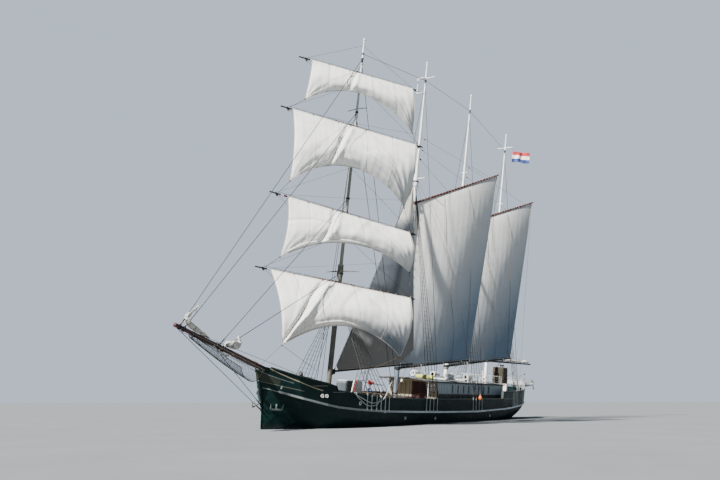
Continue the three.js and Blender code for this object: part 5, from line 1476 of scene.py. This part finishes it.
# Deckhouse
HOUSE = {"front": 1.6, "back": -14.5, "half": 2.7, "wall": 0.09, "top": 4.02, "camber": 0.16, "eave": 1.7,
         "roof": 0.1, "overhang": 0.15}
DOOR = {"y": 0.8, "width": 1.56, "low": 1.8, "high": 3.88}
SIDE_WINDOWS = {"count": 8, "first": -1.7, "pitch": -1.25, "width": 0.28, "low": 3.05, "high": 3.8}
FRONT_WINDOW = {"y": 2.2, "width": 0.55, "low": 3.1, "high": 3.85}
WAIST_DECK, FORE_DECK, QUARTER_DECK = 1.65, 2.95, 2.55


def roof_top(y):
    return HOUSE["top"] + HOUSE["camber"] * (1 - (y / HOUSE["half"]) ** 2) + HOUSE["roof"]


def frame_round(kit, centre, wide, high, normal, bar, deep):
    """Four bars round an opening in a wall with this normal, along x or y."""
    across = AHEAD if normal.y else PORT
    axes = (across, normal, UP)
    for s in SIDES:
        kit.block(centre + across * s * (wide / 2 + bar / 2), (bar, deep, high + 2 * bar), axes, 0.006)
        kit.block(centre + UP * s * (high / 2 + bar / 2), (wide, deep, bar), axes, 0.006)


def house_walls():
    glass, frames, trim, pale = kits(4)
    w, f = SIDE_WINDOWS, FRONT_WINDOW
    middle, high, front_high = (w["low"] + w["high"]) / 2, w["high"] - w["low"], f["high"] - f["low"]
    for side in SIDES:
        def wall(x, out, z):
            return at(x, side * (HOUSE["half"] + out), z)

        for i in range(w["count"]):
            x = w["first"] + i * w["pitch"]
            glass.block(wall(x, -0.05, middle), (w["width"] + 0.01, 0.015, high + 0.01), bevel=0.003)
            frame_round(frames, wall(x, 0.012, middle), w["width"], high, PORT * side, 0.035, 0.022)
            frames.block(wall(x, -0.04, middle + 0.1), (w["width"], 0.02, 0.025), bevel=0.004)
        spot = at(HOUSE["front"] - 0.045, side * f["y"], (f["low"] + f["high"]) / 2)
        pale.block(spot, (0.015, f["width"] + 0.01, front_high + 0.01), bevel=0.003)
        frame_round(trim, spot + AHEAD * 0.055, f["width"], front_high, AHEAD, 0.05, 0.025)
        trim.block(spot + AHEAD * 0.015, (0.02, 0.035, front_high), bevel=0.005)
        trim.block(spot + at(0.015, 0, 0.05), (0.02, f["width"], 0.035), bevel=0.005)
        # Battens on the side walls between the windows, drip rail under the roof and a rubbing board
        for i in range(27):
            x = HOUSE["front"] - 0.35 - i * 0.6
            place = (x - w["first"]) / w["pitch"]
            if abs(place - round(place)) > 0.18 or not -10.8 <= x <= -1.3:
                frames.block(wall(x, 0.010, 3.0), (0.035, 0.018, 2.0), bevel=0.005)
        for z, tall in ((3.94, 0.06), (2.95, 0.05)):
            frames.block(wall(-6.45, 0.016, z), (16.0, 0.03, tall))
    for y in (-1.75, -1.25, -0.75, -0.3):
        trim.block(at(HOUSE["front"] + 0.012, y, 2.9), (0.02, 0.03, 2.0), bevel=0.004)
    frame_round(trim, at(HOUSE["front"] + 0.014, DOOR["y"], (DOOR["low"] + DOOR["high"]) / 2), DOOR["width"],
                DOOR["high"] - DOOR["low"], AHEAD, 0.07, 0.026)
    # Posts and knees that carry the roof's forward overhang
    for y in (-2.6, 2.6):
        pale.lathe([(0, 0.07), (0.04, 0.045), (2.32, 0.045), (2.36, 0.07)],
                   at(HOUSE["front"] + 1.55, y, WAIST_DECK), UP, 10)
    for y in (-2.6, -0.9, 2.6):
        pale.tube([at(1.62, y, 3.55), at(2.0, y, 3.85), at(2.7, y, 4.0)], 0.025)
    glass.make("side_window_panes", window_glass(), "black_paint")
    frames.make("side_wall_trim", painted("side_trim", (0.24, 0.28, 0.285), 0.5), "grey_paint")
    trim.make("front_wall_trim", painted("front_trim", (0.06, 0.02, 0.02), 0.45), "maroon_paint")
    pale.make("front_panes_and_posts", painted("pale_panes", (0.62, 0.66, 0.68), 0.3), "white_paint")


def house_doors():
    """Two panels on each leaf, and a knob."""
    face = HOUSE["front"] - HOUSE["wall"] / 2 + 0.03
    brass = metal("door_brass", (0.6, 0.42, 0.16), 0.3, 1.0, 0.05)
    leaf_paint = painted("door_moulding", (0.022, 0.006, 0.008), 0.35)
    for side, label in reversed(SIDE_NAMES):
        kit, knob = kits(2)
        for low, high in ((1.95, 2.7), (2.85, 3.7)):
            spot = at(face + 0.008, DOOR["y"] + side * DOOR["width"] / 4, (low + high) / 2)
            frame_round(kit, spot, 0.42, high - low, AHEAD, 0.03, 0.016)
            kit.block(spot - AHEAD * 0.004, (0.012, 0.3, high - low - 0.14), bevel=0.005)
        knob.lathe([(0, 0.03), (0.01, 0.035), (0.03, 0.015), (0.05, 0.03), (0.07, 0.03), (0.08, 0.012)],
                   at(face, DOOR["y"] + side * 0.09, 2.78), AHEAD, 12)
        kit.make(f"door_{label}_panels", leaf_paint, "maroon_paint", f"door_{label}")
        knob.make(f"door_{label}_knob", brass, "bronze", f"door_{label}")


ROOF_ROLL = ((-0.95, 0.06), (-0.92, 0.19), (-0.5, 0.22), (0.1, 0.2), (0.6, 0.22), (0.93, 0.19), (0.95, 0.06))
ROOF_COWL = ((0, 0.16), (0.04, 0.12), (0.3, 0.11), (0.34, 0.2), (0.4, 0.21), (0.47, 0.14), (0.5, 0.03))
SKYLIGHTS = ((-4.2, 1.3), (-9.2, 1.6))
ROOF_RAIL = {"y": 2.55, "from": -3.2, "to": -14.2, "wires": (0.28, 0.56), "high": 0.84}
RAFTS = {"x": (-2.3, -6.6), "y": 1.95}


def roof_edge():
    kit, wide = Kit(), HOUSE["half"] + HOUSE["overhang"]
    front, low = HOUSE["front"] + HOUSE["eave"], HOUSE["top"] + 0.05

    def camber(y):
        return HOUSE["camber"] * max(0, 1 - (y / HOUSE["half"]) ** 2)

    ys = [lerp(-wide, wide, share) for share in steps(16)]
    kit.tube([at(front + 0.012, y, low + camber(y)) for y in ys], 0.055)
    for side in SIDES:
        kit.tube([at(lerp(front, HOUSE["back"] - 0.05, share), side * (wide + 0.008), low)
                  for share in steps(10)], 0.05)
    return kit


def front_lamp():
    kit, x = Kit(), HOUSE["front"] + HOUSE["eave"] + 0.03
    kit.sphere(at(x, -0.23, 3.9), 0.13, 1.0, 16)
    kit.lathe([(0, 0.05), (0.06, 0.06), (0.1, 0.03)], at(x, -0.23, 4.0), UP, 12)
    return kit


def roof_roll():
    kit = Kit()
    kit.lathe(ROOF_ROLL, at(1.2, 1.05, roof_top(1.0) + 0.18), PORT, 18)
    return kit


def roof_cowls():
    kit = Kit()
    for y in (1.4, -1.4):
        kit.lathe(ROOF_COWL, at(-11.3, y, roof_top(y)))
    return kit


def skylights():
    kit, z = Kit(), roof_top(0)
    for x, long in SKYLIGHTS:
        kit.block(at(x, 0, z + 0.1), (long, 1.3, 0.22), bevel=0.03)
        kit.block(at(x, 0, z + 0.22), (long + 0.1, 1.4, 0.05), bevel=0.02)
        kit.tube([at(x - long / 2, 0, z + 0.28), at(x + long / 2, 0, z + 0.28)], 0.02)
    return kit


def roof_rails():
    """Guard wires along both edges of the roof, with their posts."""
    kit, r = Kit(), ROOF_RAIL
    base = roof_top(r["y"])
    for side in SIDES:
        for height in r["wires"]:
            kit.tube([at(lerp(r["from"], r["to"], share), side * r["y"], base + height)
                      for share in steps(12)], 0.010, 5)
        for share in steps(11):
            foot = at(lerp(r["from"] - 0.5, r["to"] + 0.5, share), side * r["y"], base)
            kit.tube([foot, foot + UP * r["high"]], 0.012, 5)
    return kit


def raft_straps():
    """Straps round the liferafts, and the chocks under them."""
    kit = Kit()
    for x, side in product(RAFTS["x"], SIDES):
        centre = at(x, side * RAFTS["y"], roof_top(0) + 0.4)
        for shift in (-0.38, 0.0, 0.38):
            kit.ring(centre + AHEAD * shift, AHEAD, 0.308, 0.016, 5, 24)
        kit.tube([centre - AHEAD * 0.575, centre + AHEAD * 0.575], 0.2, 14)
        for s in SIDES:
            kit.block(centre + at(s * 0.36, 0, -0.27), (0.12, 0.62, 0.14), bevel=0.02)
    return kit


def house_roof():
    roof_edge().make("roof_edge", painted("roof_edge_dark", (0.02, 0.022, 0.024), 0.5), "roof_paint")
    front_lamp().make("front_lamp", painted("lamp_globe", (0.85, 0.85, 0.82), 0.2), "white_paint")
    roof_roll().make("roof_roll", canvas_cover("yellow_cover", (0.42, 0.44, 0.12)), "tarpaulin")
    roof_cowls().make("roof_vents", painted("roof_vent_paint", (0.60, 0.62, 0.61), 0.4), "white_paint")
    skylights().make("roof_skylights", painted("skylight_paint", (0.20, 0.24, 0.27), 0.4), "grey_paint")
    roof_rails().make("roof_rail_lines", white_fitting, "white_paint")
    raft_straps().make("raft_straps", painted("raft_grey", (0.34, 0.36, 0.37), 0.5), "grey_paint")


house_walls()
house_doors()
house_roof()

BIGHTS = (((17.2, 3.3), (17.01, 2.9), (16.14, 2.58), (15.07, 2.27), (14.29, 2.27), (13.6, 2.42),
           (13.21, 2.7)),
          ((17.0, 3.3), (16.84, 2.76), (16.32, 2.44), (15.74, 2.15), (15.29, 2.04), (14.88, 2.02),
           (14.48, 2.06), (14.1, 2.15), (13.8, 2.6), (13.65, 3.3)))
BIGHT_END = at(11.9, 3.86, 3.9)


def bow_strake():
    """The strake's run from its solid to the stem, and two lines hung in bights outside the bulwark."""
    for side, label in SIDE_NAMES:
        path = []
        for share in steps(12):
            x = lerp(22.55, 23.55, share)
            spot, normal = on_hull(x, 2.696 + 0.318 * (x - 22.5) - 0.0436 * (x - 22.5) ** 2, side)
            path.append(spot + normal * 0.01)
        kit = Kit()
        kit.tube(path, [lerp(0.045, 0.035, share) for share in steps(12)], 8)
        # Painted shade: the strake's run to the stem is painted darker, to offset the light that falls
        # straight on it
        paint = painted(f"bow_strake_{label}_paint", shade(STRAKE_GREY, 0.22), 0.5)
        kit.make(f"bow_strake_{label}", paint, "strake_paint")
    kit = Kit()
    for knots in BIGHTS:
        rows = [(spot + normal * 0.17, 0.02) for spot, normal in (on_hull(x, z) for x, z in knots)]
        if knots is BIGHTS[0]:
            rows += [(rows[-1][0].lerp(BIGHT_END, 0.5), 0.02), (BIGHT_END, 0.02)]
        kit.tube([p for p, _ in smooth_path(rows, 44)], 0.034)
    kit.make("bulwark_bights", rope_paint("bight_rope", (0.42, 0.46, 0.42)), "net_cord")


# Deck gear: where it stands, and the outlines of what is turned
WINCHES = ((14.4, 1.2, WAIST_DECK), (14.4, -1.2, WAIST_DECK), (3.4, 1.5, WAIST_DECK), (3.4, -1.5, WAIST_DECK),
           (-16.3, -1.4, QUARTER_DECK), (-21.0, 1.9, QUARTER_DECK), (-21.0, -1.9, QUARTER_DECK))
MAST_DECKS = {"fore": WAIST_DECK, "main": WAIST_DECK, "mizzen": 4.28, "jigger": QUARTER_DECK}
PORT_LIGHTS = ((20.1, 2.67), (19.79, 2.68), (16.2, 2.2), (9.4, 0.95), (4.0, 0.85), (-8.5, 0.85))
STERN_RAIL = (-18, -20, -22, -23.2, -24.0)
FIFE = {"x": 5.75, "z": 2.55, "posts": (-3.2, -1.6, 1.6, 3.2), "pins": 17, "gap": 0.4}
PIN_RAILS = ((14.9, 12.2), (6.1, 3.8), (-3.8, -6.2))
PIN = ((-0.2, 0.012), (-0.18, 0.018), (0.06, 0.018), (0.09, 0.03), (0.2, 0.028), (0.23, 0.012))
WINCH = ((0, 0.2), (0.05, 0.2), (0.08, 0.12), (0.3, 0.1), (0.42, 0.15), (0.5, 0.17), (0.54, 0.15),
         (0.58, 0.05))
COWL = (((0, 0), 0.09), ((0, 0.7), 0.09), ((0.04, 0.85), 0.1), ((0.14, 0.97), 0.14), ((0.25, 1), 0.17))
BUOY = ((-0.24, 0.04), (-0.21, 0.13), (-0.1, 0.2), (0.06, 0.2), (0.2, 0.11), (0.28, 0.05), (0.34, 0.03))
STANCHIONS = {"first": 18.2, "pitch": 1.22, "count": 25}
STERN_POSTS = (-18, -19.3, -20.6, -22, -23.2, -24.0)
HATCH_X, LOCKER, BINNACLE = 8.6, (-15.75, 2.45), (-18.1, -1.0)


def pin_rails(wood, iron, ropes):
    """Fife rail before the main mast, and pin rails inside the bulwarks, with pins and coils."""
    x, z = FIFE["x"], FIFE["z"]
    wood.block(at(x, 0, z), (0.16, 6.9, 0.12), bevel=0.02)
    for y in FIFE["posts"]:
        wood.block(at(x, y, 2.08), (0.12, 0.12, 0.86), bevel=0.015)
    pins = [at(x, FIFE["posts"][0] + FIFE["gap"] * i, z) for i in range(FIFE["pins"])]
    for side, ends in product(SIDES, PIN_RAILS):
        a, b = [at_x(RAIL, end, side) + at(0, -0.3 * side, -0.28) for end in ends]
        wood.line(a, b, 0.055)
        pins += [a.lerp(b, share) for share in steps(6)]
    for i, spot in enumerate(pins):
        iron.lathe(PIN, spot, UP, 8)
        if i % 2 == 0:
            coil(ropes, spot + at(0.09, 0, 0.05))


def bulwark_stanchions(grey):
    for side, i in product(SIDES, range(STANCHIONS["count"])):
        x = STANCHIONS["first"] - i * STANCHIONS["pitch"]
        p = at_x(RAIL, x, side)
        grey.block(at(x, p.y - side * 0.24, (WAIST_DECK + p.z) / 2 - 0.04),
                   (0.07, 0.12, p.z - WAIST_DECK - 0.1), bevel=0.012)


def hatch(wood, iron):
    """Hatch in the waist, with battens."""
    wood.block(at(HATCH_X, 0, 1.9), (2.2, 2.4, 0.46), bevel=0.03)
    for i in range(7):
        wood.block(at(7.65 + i * 0.32, 0, 2.16), (0.3, 2.5, 0.06), bevel=0.012)
    for y in (-0.8, 0.8):
        iron.block(at(HATCH_X, y, 2.21), (2.3, 0.05, 0.025), bevel=0.006)


def ladder(rungs, white):
    """A red and white ladder that leans inside the port bulwark."""
    low, high, half = at(16.9, 3.42, 2.75), at(16.55, 3.42, 3.95), AHEAD * 0.16
    rungs.tube([low - half, high - half], 0.045, 8)
    white.tube([low + half, high + half], 0.045, 8)
    for i in range(5):
        spot = low.lerp(high, 0.12 + 0.19 * i)
        rungs.tube([spot - half, spot + half], 0.03, 8)


def coats_and_winches(iron):
    for name, deck in MAST_DECKS.items():
        r = MASTS[name]["radius"]
        iron.lathe([(0.0, r + 0.16), (0.05, r + 0.15), (0.16, r + 0.03), (0.24, r + 0.02)],
                   on_mast(name, deck + 0.02), mast_axis(name), 20)
        iron.band(on_mast(name, deck + 1.1), mast_axis(name), r, 0.1, 0.03)
    for spot in WINCHES:
        iron.lathe(WINCH, V(spot))


def chains_and_cowls(chain, iron):
    """Chains from the windlass to the bows, and cowl vents on the forecastle."""
    links = 16
    for side in SIDES:
        start, end = at(21.2, 0.24 * side, 3.62), at(22.35, 0.55 * side, 3.02)
        way = (end - start).normalized()
        for i in range(links + 1):
            axis = way.cross(UP) if i % 2 else UP
            long, other = way * 0.065, axis.cross(way).normalized() * 0.035
            middle = start.lerp(end, i / links)
            chain.tube([middle + long * c + other * s for c, s in circle(10)], 0.014, 5, True)
        iron.tube([at(20.4 + x, 1.15 * side, FORE_DECK + 1.25 * z) for (x, z), _ in COWL],
                  [radius for _, radius in COWL], 14)


def locker_and_binnacle(white, wood):
    white.block(at(*LOCKER, 3.35), (0.55, 0.5, 1.55), bevel=0.03)
    white.block(at(*LOCKER, 4.15), (0.62, 0.56, 0.06), bevel=0.02)
    wood.lathe([(0, 0.2), (0.06, 0.2), (0.1, 0.15), (0.9, 0.12), (0.95, 0.2), (1.0, 0.2)],
               at(*BINNACLE, QUARTER_DECK), UP, 14)
    white.sphere(at(*BINNACLE, 3.66), 0.17, 0.8, 14)


def stern_rail(white):
    for height in (0.55, 0.9):
        port, starboard = [[at_x(RAIL, x, side) + at(0, -0.12 * side, height) for x in STERN_RAIL]
                           for side in (1, -1)]
        white.tube([*port, at(-24.35, 0, at_x(RAIL, -24.4).z + height), *reversed(starboard)], 0.018)
    for x, side in product(STERN_POSTS, SIDES):
        p = at_x(RAIL, x, side) + PORT * -0.12 * side
        white.tube([p - UP * 0.05, p + UP * 0.92], 0.02)


def port_lights(rims, glass, blinds):
    """Port lights on both sides, in rims; those in the bows have their blinds down."""
    for side, (x, z) in product(SIDES, PORT_LIGHTS):
        spot, normal = on_hull(x, z, side)
        rims.lathe([(-0.03, 0.085), (0.02, 0.085), (0.03, 0.105), (0.02, 0.135), (-0.03, 0.14)],
                   spot, normal, 20)
        (blinds if x > 19 else glass).lathe([(-0.02, 0.088), (0.012, 0.088)], spot, normal, 20)


def fender(buoy, line):
    """A buoy hung at the mizzen rigging."""
    rail = at_x(RAIL, -5.0)
    p = rail + at(0, 0.24, 0.1)
    buoy.lathe(BUOY, p, UP, 18)
    line.tube([p + UP * 0.32, rail + at(0, 0.1, 0.75)], 0.012, 5)


def deck_fittings():
    wood, iron, white, grey, ropes, chain, rungs, rims, glass, blinds, buoy, line = kits(12)
    pin_rails(wood, iron, ropes)
    bulwark_stanchions(grey)
    hatch(wood, iron)
    ladder(rungs, white)
    # The companion's door
    grey.block(at(11.59, -0.3, 2.6), (0.03, 0.6, 1.6))
    coats_and_winches(iron)
    chains_and_cowls(chain, iron)
    locker_and_binnacle(white, wood)
    stern_rail(white)
    port_lights(rims, glass, blinds)
    fender(buoy, line)
    for name, kit, paint, slot in (
            ("ladder_rungs", rungs, painted("rung_red", (0.35, 0.03, 0.03), 0.4), "maroon_paint"),
            ("pin_rails_and_hatch", wood, varnished("deck_wood", (0.06, 0.04, 0.03)), "teak"),
            ("deck_ironwork", iron, black_iron, "black_paint"),
            ("deck_white_fittings", white, white_fitting, "white_paint"),
            ("bulwark_stanchions", grey, painted("stanchion_paint", (0.10, 0.14, 0.13), 0.5), "grey_paint"),
            ("hung_coils", ropes, coil_rope, "net_cord"),
            ("anchor_chains", chain, metal("chain_iron", (0.12, 0.11, 0.10), 0.55, 0.8, 0.6), "black_paint"),
            ("port_light_blinds", blinds, painted("blind_paint", (0.62, 0.64, 0.62), 0.3), "white_paint"),
            ("port_light_rims", rims, white_fitting, "white_paint"),
            ("port_light_glass", glass, window_glass(), "black_paint"),
            ("fender_buoy", buoy, painted("buoy_orange", (0.75, 0.16, 0.04), 0.4), "white_paint"),
            ("fender_line", line, pale_rope, "net_cord")):
        kit.make(name, paint, slot)


bow_strake()
deck_fittings()

BOAT = {"x": -26.0, "z": 4.45, "half": 2.1, "beam": 0.66}


def boat_fittings():
    rims, wood, motor, falls = kits(4)
    x, z, half, beam = BOAT["x"], BOAT["z"], BOAT["half"], BOAT["beam"]

    def full(share):
        return (1 - abs(share) ** 2.5) * 0.95 + 0.05

    for side in SIDES:
        rims.tube([at(x + side * beam * full(s) * 0.98, half * s, z + 0.12 * s ** 2 + 0.015)
                   for s in (i / 8 - 1 for i in range(17))], 0.045, 8)
        y = side * half * 0.372
        tackle(falls, at(x, y, 4.75), at(x, y, 5.5))
    for y in (-0.9, 0.0, 0.9):
        wood.block(at(x, y, z - 0.1), (2 * beam * full(y / half) * 0.84, 0.22, 0.04))
    motor.block(at(x + 0.05, half * 0.86, z + 0.16), (0.3, 0.24, 0.34), bevel=0.05)
    motor.tube([at(x + 0.05, half * 0.9, z), at(x + 0.05, half, z - 0.75)], 0.055, 8)
    motor.block(at(x + 0.05, half, z - 0.72), (0.16, 0.28, 0.07), bevel=0.02)
    rims.make("boat_gunwale", painted("boat_rim", (0.45, 0.47, 0.48), 0.5), "grey_paint")
    wood.make("boat_thwarts", varnished("thwart_wood", (0.26, 0.16, 0.08)), "teak")
    motor.make("boat_outboard", black_iron, "black_paint")
    falls.make("boat_falls", block_wood)


boat_fittings()

SHELTER = {"back": -18.8, "front": -17.4, "y": 0.75, "half": 0.72, "high": 6.05, "power": 0.28,
           "flat": (6.0, 4.6)}


def shelter_cover():
    """The canvas over the steering shelter: its own sagging skin over the box, with two knobs on top."""
    back, front, high = SHELTER["back"], SHELTER["front"], SHELTER["high"]
    rings, (skin, knobs) = [], kits(2)
    for v in steps(34):
        z = lerp(QUARTER_DECK + 0.02, high + 0.02, min(1, v / 0.78))
        shrink = 1.0 if v < 0.78 else max(0.0, 1 - (v - 0.78) / 0.22)
        round_off = 0.0 if v < 0.66 else 0.12 * ((v - 0.66) / 0.34) ** 2
        ring = []
        for k, (c, s) in enumerate(circle(56)):
            px = copysign(abs(c) ** SHELTER["power"], c) * ((front - back) / 2 + 0.015 - round_off)
            py = copysign(abs(s) ** SHELTER["power"], s) * (SHELTER["half"] + 0.015 - round_off)
            fold = 0.030 * noise.noise(at(c * 3, s * 3, v * 3.5))
            grow = (1 + fold + 0.008 * abs(sin(2 * pi * k / 56 * 11 + v * 4)) * (1 - v)) * shrink
            top = 0.04 * noise.noise(at(px * shrink * 2, py * shrink * 2, 4)) * (1 - shrink)
            ring.append(at((front + back) / 2 + px * grow, SHELTER["y"] + py * grow, z + top))
        rings.append(ring)
    skin.loft(rings, capped=False)
    piece = skin.make("shelter_canvas", canvas_cover("shelter_cover_canvas", (0.042, 0.036, 0.026)),
                      "tarpaulin", replaces=["steering_shelter"])
    for x in (-17.75, -18.4):
        knobs.lathe([(0, 0.09), (0.03, 0.07), (0.14, 0.05), (0.2, 0.12), (0.28, 0.13), (0.34, 0.05)],
                    at(x, 0.95, high), UP, 12)
    for z in (3.2, 4.6):
        knobs.tube([at(-18.1 + 0.74 * c, 0.75 + 0.76 * s, z) for c, s in
                    ((-1, -1), (0, -1.02), (1, -1), (1.02, 0), (1, 1), (0, 1.02), (-1, 1), (-1.02, 0))],
                   0.014, 5, True)
    knobs.make("shelter_knobs", black_iron, "black_paint")


shelter_cover()


def staysail_rig():
    sheet, hanks, lines = kits(3)
    tip, foot = stay_boom_tip(STAY_BOOM["reach"] * 0.93) - UP * 0.12, at(5.75, 0.6, 2.64)
    tackle(sheet, foot + UP * 0.15, tip)
    blended(sheet, "staysail_sheet_tackle", "staysail", foot + UP * 0.4, tip - UP * 0.3)
    for share in steps(25):
        hanks.ring(along_stay(0.7 + (STAY_LENGTH - 1.5) * share), STAY_HEAD - STAY_TACK, 0.045, 0.012, 5, 12)
    hanks.make("staysail_hanks", black_iron, body="staysail")
    surface, side = staysail_surface(), abeam(STAY_BOOM["swing"])
    for i in range(1, 13):
        hang_points(lines, surface(i / 13, 0.09) + side * 0.03, side, 0.009, ((0.02, 0.35),))
    lines.make("staysail_reef_points", hemp, body="staysail")


staysail_rig()

FLOOR_REACH = 900


def make_floor():
    """The floor at the waterline: level in the photograph's view, so it leans in the upright ship's frame."""
    mesh = bpy.data.meshes.new("floor")
    mesh.from_pydata([at(x, y, y * tan(rad(HEEL))) * FLOOR_REACH for x,
                      y in ((-1, -1), (1, -1), (1, 1), (-1, 1))], [],
                     [[0, 1, 2, 3]])
    p = Paint("floor_paint", 0.8, specular=0.2)
    p.finish(p.mix((0.16, 0.175, 0.185), (0.21, 0.225, 0.235), p.noise(0.4, 5)), p.noise(3, 4), 0.75, 0.9)
    mesh.materials.append(p.material)
    link("floor", mesh)


make_floor()
